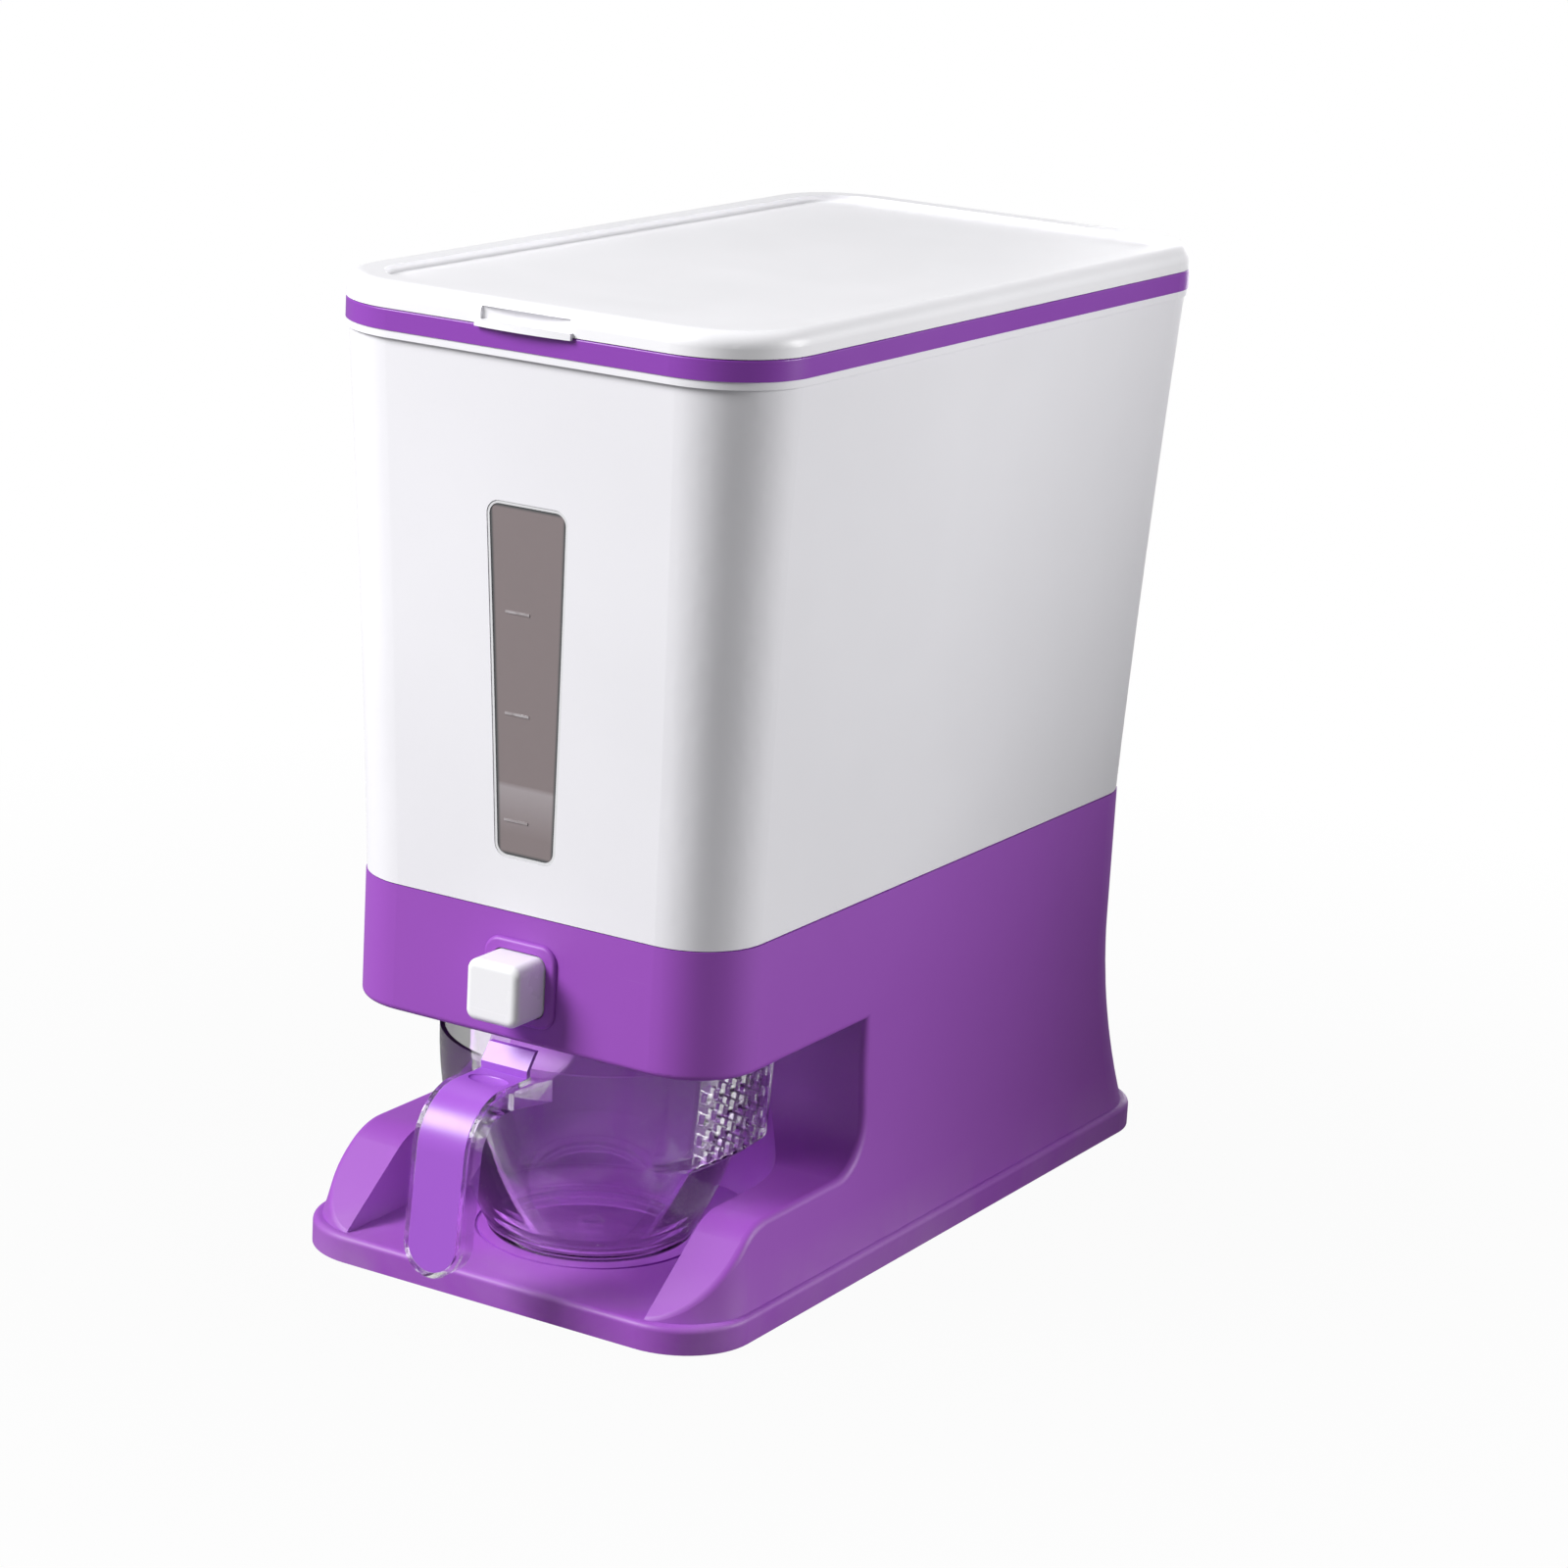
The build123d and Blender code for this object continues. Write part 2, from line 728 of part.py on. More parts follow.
def build_collar():
    """Purple band round the hopper's mouth, with a skirt inside it and the hinge ears at the back."""
    ring = slab(collar_half_x, collar_half_y, collar_corner, collar_low_z, collar_top_z)
    ring = fillet(ring.edges().group_by(Axis.Z)[-1], collar_edge_round)
    gap = hopper_wall + slip
    skirt = extrude(hopper_section(hopper_top_z, gap), -collar_skirt)
    skirt += extrude(hopper_section(hopper_top_z, gap), lip_height)
    skirt = skirt & hopper_form(gap, 0, lip_height)
    bore_z = hopper_top_z - collar_skirt
    skirt -= extrude(hopper_section(bore_z, gap + collar_skirt_wall), collar_skirt + lip_height)
    body = ring + skirt
    mouth = outline(collar_mouth_half_x, collar_mouth_half_y, collar_mouth_corner, collar_low_z - over)
    body -= extrude(mouth, collar_height + 2 * over)
    inside = collar_half_y - collar_edge_round - over
    root_low_z = collar_low_z + hinge_root_lift
    for centre in (-hinge_x, hinge_x):
        for low, high in barrel_spans(centre):
            body += rod_x(low, high, hinge_y, hinge_z, hinge_radius)
            body += block(low, high, inside, hinge_y, root_low_z, hinge_z)
            bore = pin_radius + pin_clearance
            body -= rod_x(low - hinge_side_gap, high + hinge_side_gap, hinge_y, hinge_z, bore)
    return body


def build_lid():
    """White lid: rounded border, shallow panel, plug ring, finger tab and hinge barrels."""
    form = slab(collar_half_x, collar_half_y, collar_corner, lid_low_z, lid_top_z)
    form = fillet(form.edges().group_by(Axis.Z)[-1], lid_round)
    panel_x = collar_half_x - lid_border
    panel_y = collar_half_y - lid_border
    panel_corner = collar_corner - lid_border
    panel = slab(panel_x, panel_y, panel_corner, lid_top_z - lid_recess, lid_top_z + over)
    form -= fillet(panel.edges().group_by(Axis.Z)[0], panel_round)
    hollow_top_z = lid_top_z - lid_recess - lid_thick
    inner_x = collar_half_x - lid_thick
    inner_y = collar_half_y - lid_thick
    inner_corner = collar_corner - lid_thick
    form -= slab(inner_x, inner_y, inner_corner, lid_low_z - over, hollow_top_z)
    channel = slab(inner_x, inner_y, inner_corner, lid_low_z, lid_top_z - lid_thick)
    channel = fillet(channel.edges().group_by(Axis.Z)[-1], lid_round - lid_thick)
    grown = panel_corner + lid_thick
    channel -= slab(panel_x + lid_thick, panel_y + lid_thick, grown, lid_low_z - over, lid_top_z)
    form -= channel
    plug_x = collar_mouth_half_x - lid_plug_gap
    plug_y = collar_mouth_half_y - lid_plug_gap
    plug_corner = collar_mouth_corner - lid_plug_gap
    bore_x = plug_x - lid_plug_wall
    bore_y = plug_y - lid_plug_wall
    plug = slab(plug_x, plug_y, plug_corner, plug_low_z, hollow_top_z + over)
    plug -= slab(bore_x, bore_y, plug_corner - lid_plug_wall, plug_low_z - over, hollow_top_z + 2 * over)
    groove = slab(plug_x + over, plug_y + over, plug_corner + over, groove_low_z, groove_high_z)
    bed_x = plug_x - seal_groove
    bed_y = plug_y - seal_groove
    groove -= slab(bed_x, bed_y, plug_corner - seal_groove, groove_low_z, groove_high_z)
    form += plug - groove
    face_y = -collar_half_y
    tab_low_z = collar_top_z - tab_drop
    tab_high_z = tab_low_z + tab_thick
    shoulder_y = face_y - tab_shoulder
    tip_y = face_y - tab_reach
    root_y = face_y + tab_root
    tip = ThreePointArc((-tab_half, shoulder_y), (0, tip_y), (tab_half, shoulder_y))
    right = [(tab_half, shoulder_y), (tab_half, root_y)]
    left = [(-tab_half, root_y), (-tab_half, shoulder_y)]
    sides = Polyline(*right, *left)
    tab = extrude(Pos(0, 0, tab_low_z) * make_face([tip] + sides.edges()), tab_thick)
    tab -= block(-tab_half, tab_half, face_y - slip, root_y, tab_low_z, lid_low_z)
    scoop_y = face_y - scoop_radius + scoop_depth
    scoop_top_z = lid_top_z - scoop_top_rim
    scoop_half = tab_half - scoop_side
    opening = block(-scoop_half, scoop_half, face_y - over, root_y, tab_high_z, scoop_top_z)
    form -= post(0, scoop_y, tab_high_z, scoop_top_z, scoop_radius) & opening
    wall = post(0, scoop_y, lid_low_z, scoop_top_z, scoop_radius + lid_thick)
    wall -= post(0, scoop_y, lid_low_z, scoop_top_z, scoop_radius)
    wall = wall & block(-tab_half, tab_half, face_y + over, root_y, lid_low_z, scoop_top_z)
    form += tab + wall
    for centre in (-hinge_x, hinge_x):
        low = centre - hinge_barrel / 2
        high = centre + hinge_barrel / 2
        form += rod_x(low, high, hinge_y, hinge_z, hinge_radius)
        form += block(low, high, inner_y, hinge_y, lid_low_z, lid_low_z + hinge_strap)
        form -= rod_x(low - over, high + over, hinge_y, hinge_z, pin_radius + pin_clearance)
    return form


def build_lid_seal():
    """Soft ring in the groove of the lid's plug."""
    low = groove_low_z + seal_fit
    high = groove_high_z - seal_fit
    outer = slip
    inner = lid_plug_gap + seal_groove - seal_fit
    wide_x = collar_mouth_half_x
    wide_y = collar_mouth_half_y
    ring = slab(wide_x - outer, wide_y - outer, collar_mouth_corner - outer, low, high)
    return ring - slab(wide_x - inner, wide_y - inner, collar_mouth_corner - inner, low, high)


def build_hinge_pins():
    """Steel pins through ears and barrels."""
    reach = hinge_barrel / 2 + hinge_side_gap + hinge_ear
    return Compound([rod_x(centre - reach, centre + reach, hinge_y, hinge_z, pin_radius)
                     for centre in (-hinge_x, hinge_x)])


def build_bezel():
    """Guide sleeve with a soft raised rim on the chin's face."""
    half_x = button_width / 2 + button_gap
    half_z = button_height / 2 + button_gap
    rim_front_y = chin_face_y - bezel_proud
    rim = square_bar(half_x + bezel_margin, half_z + bezel_margin, bezel_corner, rim_front_y, chin_face_y)
    rim = fillet(rim.edges().group_by(Axis.Y)[0], bezel_round)
    sleeve_x = half_x + bezel_sleeve_wall
    sleeve_z = half_z + bezel_sleeve_wall
    sleeve_corner = button_corner + bezel_sleeve_wall
    body = rim + square_bar(sleeve_x, sleeve_z, sleeve_corner, chin_face_y, sleeve_back_y)
    return body - square_bar(half_x, half_z, button_corner + button_gap, rim_front_y - over, sleeve_back_y + over)


def build_button():
    """Hollow push button with a stop flange behind its guide."""
    half_x = button_width / 2
    half_z = button_height / 2
    cap = square_bar(half_x, half_z, button_corner, button_face_y, flange_back_y)
    cap = fillet(cap.edges().group_by(Axis.Y)[0], button_round)
    flange_x = half_x + button_flange
    flange_z = half_z + button_flange
    cap += square_bar(flange_x, flange_z, button_corner, flange_front_y, flange_back_y)
    room_x = half_x - button_wall
    room_z = half_z - button_wall
    room_front_y = button_face_y + button_wall
    return cap - square_bar(room_x, room_z, button_inner_corner, room_front_y, flange_back_y + over)


def build_gate_link():
    """Bar from the button's flange to the gate's tongue, with its headed pin."""
    low_z = gate_low_z - link_thick
    bar = block(-link_half, link_half, flange_back_y, link_tail_y, low_z, gate_low_z)
    plate_low_z = gate_low_z - link_plate_low
    plate_high_z = gate_low_z + link_plate_high
    half = link_plate_half
    plate = block(-half, half, flange_back_y, link_plate_back_y, plate_low_z, plate_high_z)
    head_z = gate_top_z + slip
    pin = post(0, link_pin_y, gate_low_z, head_z, link_pin_radius)
    head = post(0, link_pin_y, head_z, head_z + link_pin_head_height, link_pin_head)
    return bar + plate + pin + head


def build_gate_slide():
    """Sliding plate whose hole meets the outlet when the button is pressed."""
    plate = block(-gate_half_x, gate_half_x, gate_front_y, gate_rear_y, gate_low_z, gate_top_z)
    tongue_y = gate_front_y - tongue_length
    plate += block(-tongue_half, tongue_half, tongue_y, gate_front_y, gate_low_z, gate_top_z)
    hole_low_y = gate_hole_y - throat_half_y
    hole_high_y = gate_hole_y + throat_half_y
    hole_low_z = gate_low_z - over
    plate -= block(-throat_half_x, throat_half_x, hole_low_y, hole_high_y, hole_low_z, gate_top_z + over)
    return plate - post(0, link_pin_y, gate_low_z - over, gate_top_z + over, link_pin_radius + pin_clearance)


def build_gate_housing():
    """Rails, floor and stop of the slide gate, screwed under the deck."""
    inner_x = gate_half_x + housing_slip
    outer_x = inner_x + housing_side
    front_y = outlet_y - housing_nose
    stop_y = gate_rear_y + button_travel + housing_stop
    body = block(-outer_x, outer_x, front_y, stop_y + housing_end, housing_low_z, housing_top_z)
    body -= block(-inner_x, inner_x, front_y - over, stop_y, housing_floor_z, gate_top_z + housing_slip)
    body -= passage(throat_half_x, throat_half_y, gate_top_z, housing_top_z + over)
    body -= passage(passage_half_x, passage_half_y, housing_low_z - over, gate_low_z)
    notch_x = tongue_half + notch_margin
    notch_y = link_tail_y + button_travel + notch_margin
    body -= block(-notch_x, notch_x, front_y - over, notch_y, housing_low_z - over, housing_top_z + over)
    return body - bores(housing_spots, housing_low_z - over, housing_top_z + over, screw_hole)


def build_chute():
    """Drop chute from the slide down through the cover under the chin."""
    outer_x = passage_half_x + chute_wall
    outer_y = passage_half_y + chute_wall
    tube = passage(outer_x, outer_y, chute_foot_z, housing_low_z)
    tube = fillet(tube.edges().filter_by(Axis.Z), chute_corner)
    flange_low_z = housing_low_z - chute_flange_thick
    body = tube + passage(outer_x, passage_half_y + chute_flange, flange_low_z, housing_low_z)
    return body - passage(passage_half_x, passage_half_y, chute_foot_z - over, housing_low_z + over)


def build_chin_cover():
    """Cover under the chin with the chute's opening and the spring's seat."""
    cover = extrude(base_section(cover_low_z, chin_rim + slip), cover_thick) & bay(-slip, cover_top_z + over)
    hole_x = passage_half_x + chute_wall + slip
    hole_y = passage_half_y + chute_wall + slip
    cover -= passage(hole_x, hole_y, cover_low_z - over, cover_top_z + over)
    seat_top_z = button_z + spring_radius + spring_wire / 2
    seat_back_y = seat_face_y + seat_thick
    cover += block(-seat_half, seat_half, seat_face_y, seat_back_y, cover_low_z, seat_top_z)
    web_top_z = cover_top_z + seat_web_height
    for x in (-seat_half, seat_half - seat_web):
        cover += block(x, x + seat_web, seat_face_y, seat_back_y + seat_web_reach, cover_low_z, web_top_z)
    cover += rod_y(0, seat_face_y - spigot_length, seat_face_y, button_z, spigot_radius)
    return cover - bores(cover_spots, cover_low_z - over, cover_top_z + over, screw_hole)


def biarc_reach(chord, leave, arrive):
    """Length of the equal tangent legs that join two courses over a chord by two arcs."""
    square = 2 * (1 - leave.dot(arrive))
    linear = chord.dot(leave + arrive)
    return (math.sqrt(linear * linear + square * chord.dot(chord)) - linear) / square


def coil_edges(front_y, back_y):
    """Helix along Y as tangent arcs, two for each step of a turn."""
    count = spring_turns * spring_steps
    pitch = (back_y - front_y) / spring_turns
    points = []
    courses = []
    for step in range(count + 1):
        turn = 2 * math.pi * step / spring_steps
        across = spring_radius * math.cos(turn)
        height = spring_radius * math.sin(turn)
        points.append(Vector(across, front_y + pitch * step / spring_steps, button_z + height))
        courses.append(Vector(-height, pitch / (2 * math.pi), across).normalized())
    edges = []
    for start, end, leave, arrive in zip(points, points[1:], courses, courses[1:]):
        reach = biarc_reach(end - start, leave, arrive)
        middle = (start + end + (leave - arrive) * reach) * 0.5
        edges.append(Edge.make_tangent_arc(start, leave, middle))
        edges.append(Edge.make_tangent_arc(middle, edges[-1] % 1, end))
    return edges


def build_return_spring():
    """Compression spring between the button's front wall and its seat."""
    inset = spring_wire / 2
    edges = coil_edges(button_face_y + button_wall + inset, seat_face_y - inset)
    path = Wire(edges)
    return sweep(Plane(origin=path @ 0, z_dir=path % 0) * Circle(spring_wire / 2), path=path)


def spring_gap():
    """Least gap between neighbouring turns, measured on points of the coil."""
    inset = spring_wire / 2
    edges = coil_edges(button_face_y + button_wall + inset, seat_face_y - inset)
    points = [edge @ 0 for edge in edges]
    half_turn = spring_steps
    gaps = []
    for index, point in enumerate(points):
        gaps += [(point - other).length - spring_wire for other in points[index + half_turn:]]
    return min(gaps)


def bowl(inset, low_z, corner):
    """Round body of the jug: a side of one arc that stands upright at the rim, drawn in by inset."""
    height = jug_rim_z - jug_foot_z - jug_foot_round
    spread = jug_rim_radius - jug_foot_radius
    arc_radius = (height ** 2 + spread ** 2) / (2 * spread)
    centre_x = jug_rim_radius - arc_radius
    radius = arc_radius - inset
    corner_z = low_z + corner
    middle_z = (corner_z + jug_rim_z) / 2
    corner_x = centre_x + math.sqrt(radius ** 2 - (jug_rim_z - corner_z) ** 2)
    middle_x = centre_x + math.sqrt(radius ** 2 - (jug_rim_z - middle_z) ** 2)
    rim_x = centre_x + radius
    turn = corner * math.sqrt(0.5)
    bend = (corner_x - corner + turn, corner_z - turn)
    edges = [
        Line((0, low_z), (corner_x - corner, low_z)),
        ThreePointArc((corner_x - corner, low_z), bend, (corner_x, corner_z)),
        ThreePointArc((corner_x, corner_z), (middle_x, middle_z), (rim_x, jug_rim_z)),
        Line((rim_x, jug_rim_z), (0, jug_rim_z)),
        Line((0, jug_rim_z), (0, low_z)),
    ]
    return Pos(0, jug_y, 0) * revolve(Plane.XZ * make_face(edges), Axis.Z)


def spout_section(z, inset):
    """Plan of the straining spout at a level: a gently bowed front between two slanting cheeks."""
    share = (z - spout_foot_z) / (jug_rim_z - spout_foot_z)
    front_x = spout_foot_x + (spout_top_x - spout_foot_x) * share - inset
    side_x = front_x - spout_bow
    side = spout_half - inset
    root = spout_root_half - inset
    front = ThreePointArc((side_x, -side), (front_x, 0), (side_x, side))
    right = [(side_x, side), (spout_root_x, root), (0, root)]
    left = [(0, -root), (spout_root_x, -root), (side_x, -side)]
    rest = Polyline(*right, *left)
    face = make_face([front] + rest.edges())
    corners = [vertex for vertex in face.vertices() if vertex.X > spout_root_x + over]
    return Pos(0, jug_y, z) * fillet(corners, spout_corner - inset / 2)


def handle_band(near, far, low_z, end_y):
    """Side view of the handle between two depths below its outer face, ending at end_y."""
    lean = math.radians(handle_lean_angle)
    bend_z = handle_top_z - handle_bend
    climb = bend_z - handle_foot_z
    bend_y = handle_front_y + (handle_bend + climb * math.sin(lean)) / math.cos(lean)
    middle = (math.radians(90) + lean) / 2

    def outer_points(depth):
        """Foot, end of the leg, middle of the bend, start of the top and end of the top."""
        radius = handle_bend - depth
        leg_y = bend_y - radius * math.cos(lean)
        leg_z = bend_z + radius * math.sin(lean)
        foot_y = leg_y - (leg_z - low_z) * math.tan(lean)
        mid_y = bend_y - radius * math.sin(middle)
        mid_z = bend_z + radius * math.cos(middle)
        top_z = bend_z + radius
        return [(foot_y, low_z), (leg_y, leg_z), (mid_y, mid_z), (bend_y, top_z), (end_y, top_z)]

    outer = outer_points(near)
    inner = outer_points(far)
    edges = [
        Line(outer[0], outer[1]),
        ThreePointArc(outer[1], outer[2], outer[3]),
        Line(outer[3], outer[4]),
        Line(outer[4], inner[4]),
        Line(inner[4], inner[3]),
        ThreePointArc(inner[3], inner[2], inner[1]),
        Line(inner[1], inner[0]),
        Line(inner[0], outer[0]),
    ]
    return Plane.YZ * make_face(edges)


def handle_front(half, low_z):
    """Front outline of the handle, round at its lower end, carried along the depth."""
    front_y = handle_front_y - handle_depth
    upper = block(-half, half, front_y, jug_y, low_z + half, jug_rim_z)
    return upper + rod_y(0, front_y, jug_y, low_z + half, half)


def build_jug():
    """Clear jug: round bowl, straining spout on its right side and a channel for the handle's strip."""
    inner_floor_z = jug_foot_z + jug_floor
    spout = loft([spout_section(spout_foot_z, 0), spout_section(jug_rim_z, 0)], ruled=True)
    foot_edges = [edge for edge in spout.edges().group_by(Axis.Z)[0] if edge.center().X > spout_root_x]
    spout = fillet(foot_edges, spout_foot_round)
    root_y = jug_front_y + handle_root_bury
    band = extrude(handle_band(0, handle_depth, handle_foot_z, root_y), handle_half, both=True)
    band = band & handle_front(handle_half, handle_foot_z)
    flare_y = root_y - handle_root_length - handle_root_bury
    plan = Polyline((-handle_half, flare_y), (handle_half, flare_y), (handle_root_half, root_y),
                    (-handle_root_half, root_y), close=True)
    root = extrude(Pos(0, 0, handle_top_z - handle_depth) * make_face(plan), handle_depth)
    body = bowl(0, jug_foot_z, jug_foot_round) + spout + band + root
    room = bowl(jug_wall, inner_floor_z, jug_floor_round)
    room += post(0, jug_y, jug_rim_z, jug_rim_z + over, jug_rim_radius - jug_wall)
    spout_low = spout_section(spout_foot_z + jug_wall, jug_wall)
    spout_high = spout_section(jug_rim_z + over, jug_wall)
    body -= room + loft([spout_low, spout_high], ruled=True)
    slot_half = handle_half - handle_side
    slot_end_y = jug_front_y - insert_slip / 2
    slot = extrude(handle_band(-over, insert_thick, handle_foot_z, slot_end_y), slot_half, both=True)
    body -= slot & handle_front(slot_half, handle_foot_z + handle_side)
    hollow_half = slot_half - handle_ledge
    hollow = handle_band(insert_thick - over, handle_depth - handle_back, handle_foot_z, flare_y)
    hollow = extrude(hollow, hollow_half, both=True)
    body -= hollow & handle_front(hollow_half, handle_foot_z + handle_side + handle_ledge)
    recess = post(0, jug_y, jug_foot_z - over, jug_foot_z + jug_foot_recess, jug_foot_radius - jug_foot_ring)
    body -= recess
    half_width = hole_pitch * (hole_columns - 1) / 2
    hole = RectangleRounded(hole_width, hole_height, hole_corner)
    cutter = extrude(Plane.YZ * hole, 2 * jug_wall + spout_bow, both=True)
    for column in range(hole_columns):
        y = jug_y - half_width + hole_pitch * column
        for row in range(hole_rows):
            z = hole_top_z - hole_row_pitch * row
            body -= Pos(spout_foot_x - spout_bow, y, z) * cutter
    return body


def build_handle_insert():
    """Purple strip in the handle's channel, with a thumb dimple and a tab that rises over the rim."""
    strip = handle_band(0, insert_thick, handle_foot_z, thumb_back_y)
    strip = extrude(strip, insert_half, both=True)
    strip = strip & handle_front(insert_half, handle_foot_z + handle_side + insert_slip)
    foot_z = handle_top_z - insert_thick
    thumb_front_y = thumb_back_y - thumb_thick
    outline_points = [
        (thumb_back_y, foot_z),
        (thumb_back_y, thumb_kink_z),
        (thumb_back_y + thumb_lean, thumb_top_z),
        (thumb_front_y + thumb_lean, thumb_top_z),
        (thumb_front_y, thumb_kink_z),
        (thumb_front_y, foot_z),
    ]
    thumb = extrude(Plane.YZ * make_face(Polyline(*outline_points, close=True)), insert_half, both=True)
    dimple = scale(Sphere(1), by=(dimple_half_x, dimple_half_y, dimple_depth))
    return strip + thumb - Pos(0, dimple_y, handle_top_z) * dimple


os.makedirs("parts", exist_ok=True)
plate_screw_seat_z = plate_z + plate_recess
housing_screw_length = deck_top_z + deck_boss_height - housing_low_z

save(build_base_shell(), "base_shell")
save(build_base_plate(), "base_plate")
save(build_rubber_feet(), "rubber_feet")
save(screw_group(plate_spots, plate_screw_seat_z, plate_screw_length), "base_screws")
save(build_hopper(), "hopper")
save(screw_group(hopper_spots, housing_top_z, deck_screw_length), "hopper_screws")
save(build_funnel(), "hopper_funnel")
save(build_window(), "window")
save(build_window_seal(), "window_seal")
save(build_collar(), "rim_collar")
save(build_hinge_pins(), "hinge_pins")
save(build_lid(), "lid")
save(build_lid_seal(), "lid_seal")
save(build_bezel(), "button_bezel")
save(build_button(), "button")
save(build_gate_link(), "gate_link")
save(build_gate_slide(), "gate_slide")
save(build_gate_housing(), "gate_housing")
save(screw_group(housing_spots, housing_low_z, housing_screw_length), "housing_screws")
save(build_chute(), "outlet_chute")
save(build_chin_cover(), "chin_cover")
save(screw_group(cover_spots, cover_low_z, cover_screw_length), "cover_screws")
save(build_return_spring(), "return_spring")
save(build_jug(), "jug")
save(build_handle_insert(), "handle_insert")
print("least gap in the spring:", round(spring_gap(), 2), "mm")
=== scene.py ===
"""Look of the countertop rice dispenser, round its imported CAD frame. Metres, +Z up, front towards -Y."""
import json
import math
import bpy
import numpy as np
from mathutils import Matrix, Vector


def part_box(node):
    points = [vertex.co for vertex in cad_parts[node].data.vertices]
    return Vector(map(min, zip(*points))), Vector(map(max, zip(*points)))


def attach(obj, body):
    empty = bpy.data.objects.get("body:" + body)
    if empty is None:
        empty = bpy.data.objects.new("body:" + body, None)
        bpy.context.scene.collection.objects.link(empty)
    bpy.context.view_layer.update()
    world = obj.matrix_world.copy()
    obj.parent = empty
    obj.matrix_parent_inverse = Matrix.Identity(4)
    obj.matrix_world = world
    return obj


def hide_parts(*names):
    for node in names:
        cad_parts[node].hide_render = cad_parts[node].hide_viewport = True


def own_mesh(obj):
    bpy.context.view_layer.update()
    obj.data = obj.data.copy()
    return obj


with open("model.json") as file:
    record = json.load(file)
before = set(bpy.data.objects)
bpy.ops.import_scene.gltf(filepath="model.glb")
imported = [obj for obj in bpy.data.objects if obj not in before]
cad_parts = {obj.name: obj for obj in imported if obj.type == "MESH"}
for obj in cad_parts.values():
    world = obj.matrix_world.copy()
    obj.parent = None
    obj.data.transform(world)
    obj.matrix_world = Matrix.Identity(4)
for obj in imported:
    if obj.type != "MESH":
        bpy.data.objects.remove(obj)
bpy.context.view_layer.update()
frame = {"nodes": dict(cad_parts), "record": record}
nodes = frame["nodes"]

# Camera: place, aim and lens worked out from the straight edges of the photograph
row_shift = 0.01635
camera_place = np.array([0.9092, -1.5122 + row_shift, 0.6568])
camera_right = np.array([0.8506, 0.523, 0.0551])
camera_up = np.array([-0.1836, 0.1972, 0.963])
focal_pixels = 4493.0
frame_pixels = 1600.0
sensor_width = 36.0
clip_near = 0.05
clip_far = 30.0

# Moulded plastic, and how high dust settles on it
moulded_ior = 1.5
dust_height = 0.03

# Return spring
spring_gauge = 0.001
spring_turns = 9
spring_turn_steps = 36
spring_wire_steps = 12
spring_end_share = 0.55

# Moulding mark in the jug's floor
jug_axis_y = -0.09865
jug_floor_z = 0.0146
gate_pole = 0.0001
gate_reach = 0.006
gate_nub = 0.0011
gate_nub_width = 0.0013
gate_ring = 0.0007
gate_ring_radius = 0.0042
gate_ring_width = 0.0006
gate_bury = 0.0002
gate_rows = 40
gate_columns = 48

# Window pane, its marks and the pale band of its painted reflection
pane_low = 0.1795
pane_top = 0.3175
pane_low_half = 0.01275
pane_top_half = 0.0175
rim_width = 0.0016
mark_levels = (0.1935, 0.236, 0.276)
mark_half_height = 0.0005
mark_middle = -0.0045
mark_half_length = 0.0055
# The pale band low on the pane is a painted reflection, with a sharp top edge and fading downwards
reflection_band_low = 0.188
reflection_band_top = 0.2085
reflection_band_edge = 0.002

# Mirroring of the jug's thin walls, and how much of a lamp's light each face lets through
thin_ior = 1.22
shadow_share = 0.84

# How much of the white surroundings shows in gloss
sky_gloss = 0.12
ground_gloss = 0.12

# Ground, and how far from the middle the object's shadow fades into white
floor_half = 6.0
floor_rows = 13
shadow_near = 0.2
shadow_far = 0.75

# Where the lamps aim, and the card beside the right one
middle = (0.0, 0.0, 0.2)
right_side = (0.1, -0.05, 0.24)
flag_x = 0.6
flag_rear = 0.9
flag_low = 0.12
flag_top = 0.62
flag_rows = 9


def unit(vector):
    """The vector divided by its length."""
    return vector / np.linalg.norm(vector)


def matrix_of(right, up, back, place):
    """World matrix whose columns are the three axes and the place."""
    matrix = np.eye(4)
    matrix[:3, 0] = unit(right)
    matrix[:3, 1] = unit(up)
    matrix[:3, 2] = unit(back)
    matrix[:3, 3] = place
    return matrix.T.tolist()


def add_camera():
    """Camera at the fitted place, with the fitted aim and lens."""
    data = bpy.data.cameras.new("camera")
    data.sensor_fit = "HORIZONTAL"
    data.sensor_width = sensor_width
    data.lens = focal_pixels / frame_pixels * sensor_width
    data.clip_start = clip_near
    data.clip_end = clip_far
    camera = bpy.data.objects.new("camera", data)
    bpy.context.scene.collection.objects.link(camera)
    back = np.cross(camera_right, camera_up)
    camera.matrix_world = matrix_of(camera_right, camera_up, back, camera_place)
    bpy.context.scene.camera = camera


def add_lamp(name, place, target, width, height, power, spread):
    """Soft rectangular lamp at place, facing target, with its light kept within a spread in degrees."""
    data = bpy.data.lights.new(name, "AREA")
    data.shape = "RECTANGLE"
    data.size = width
    data.size_y = height
    data.energy = power
    data.spread = math.radians(spread)
    lamp = bpy.data.objects.new(name, data)
    bpy.context.scene.collection.objects.link(lamp)
    back = unit(np.array(place) - np.array(target))
    right = unit(np.cross(np.array([0.0, 0.0, 1.0]), back))
    lamp.matrix_world = matrix_of(right, np.cross(back, right), back, place)
    return lamp


# Node tools
def node_of(tree, kind, values=None, **settings):
    """New node of a kind, with its settings and socket values."""
    node = tree.nodes.new(kind)
    for key, value in settings.items():
        setattr(node, key, value)
    for key, value in (values or {}).items():
        node.inputs[key].default_value = value
    return node


def join(tree, *pairs):
    """Link each pair of an output socket and an input socket."""
    for out_socket, in_socket in pairs:
        tree.links.new(out_socket, in_socket)


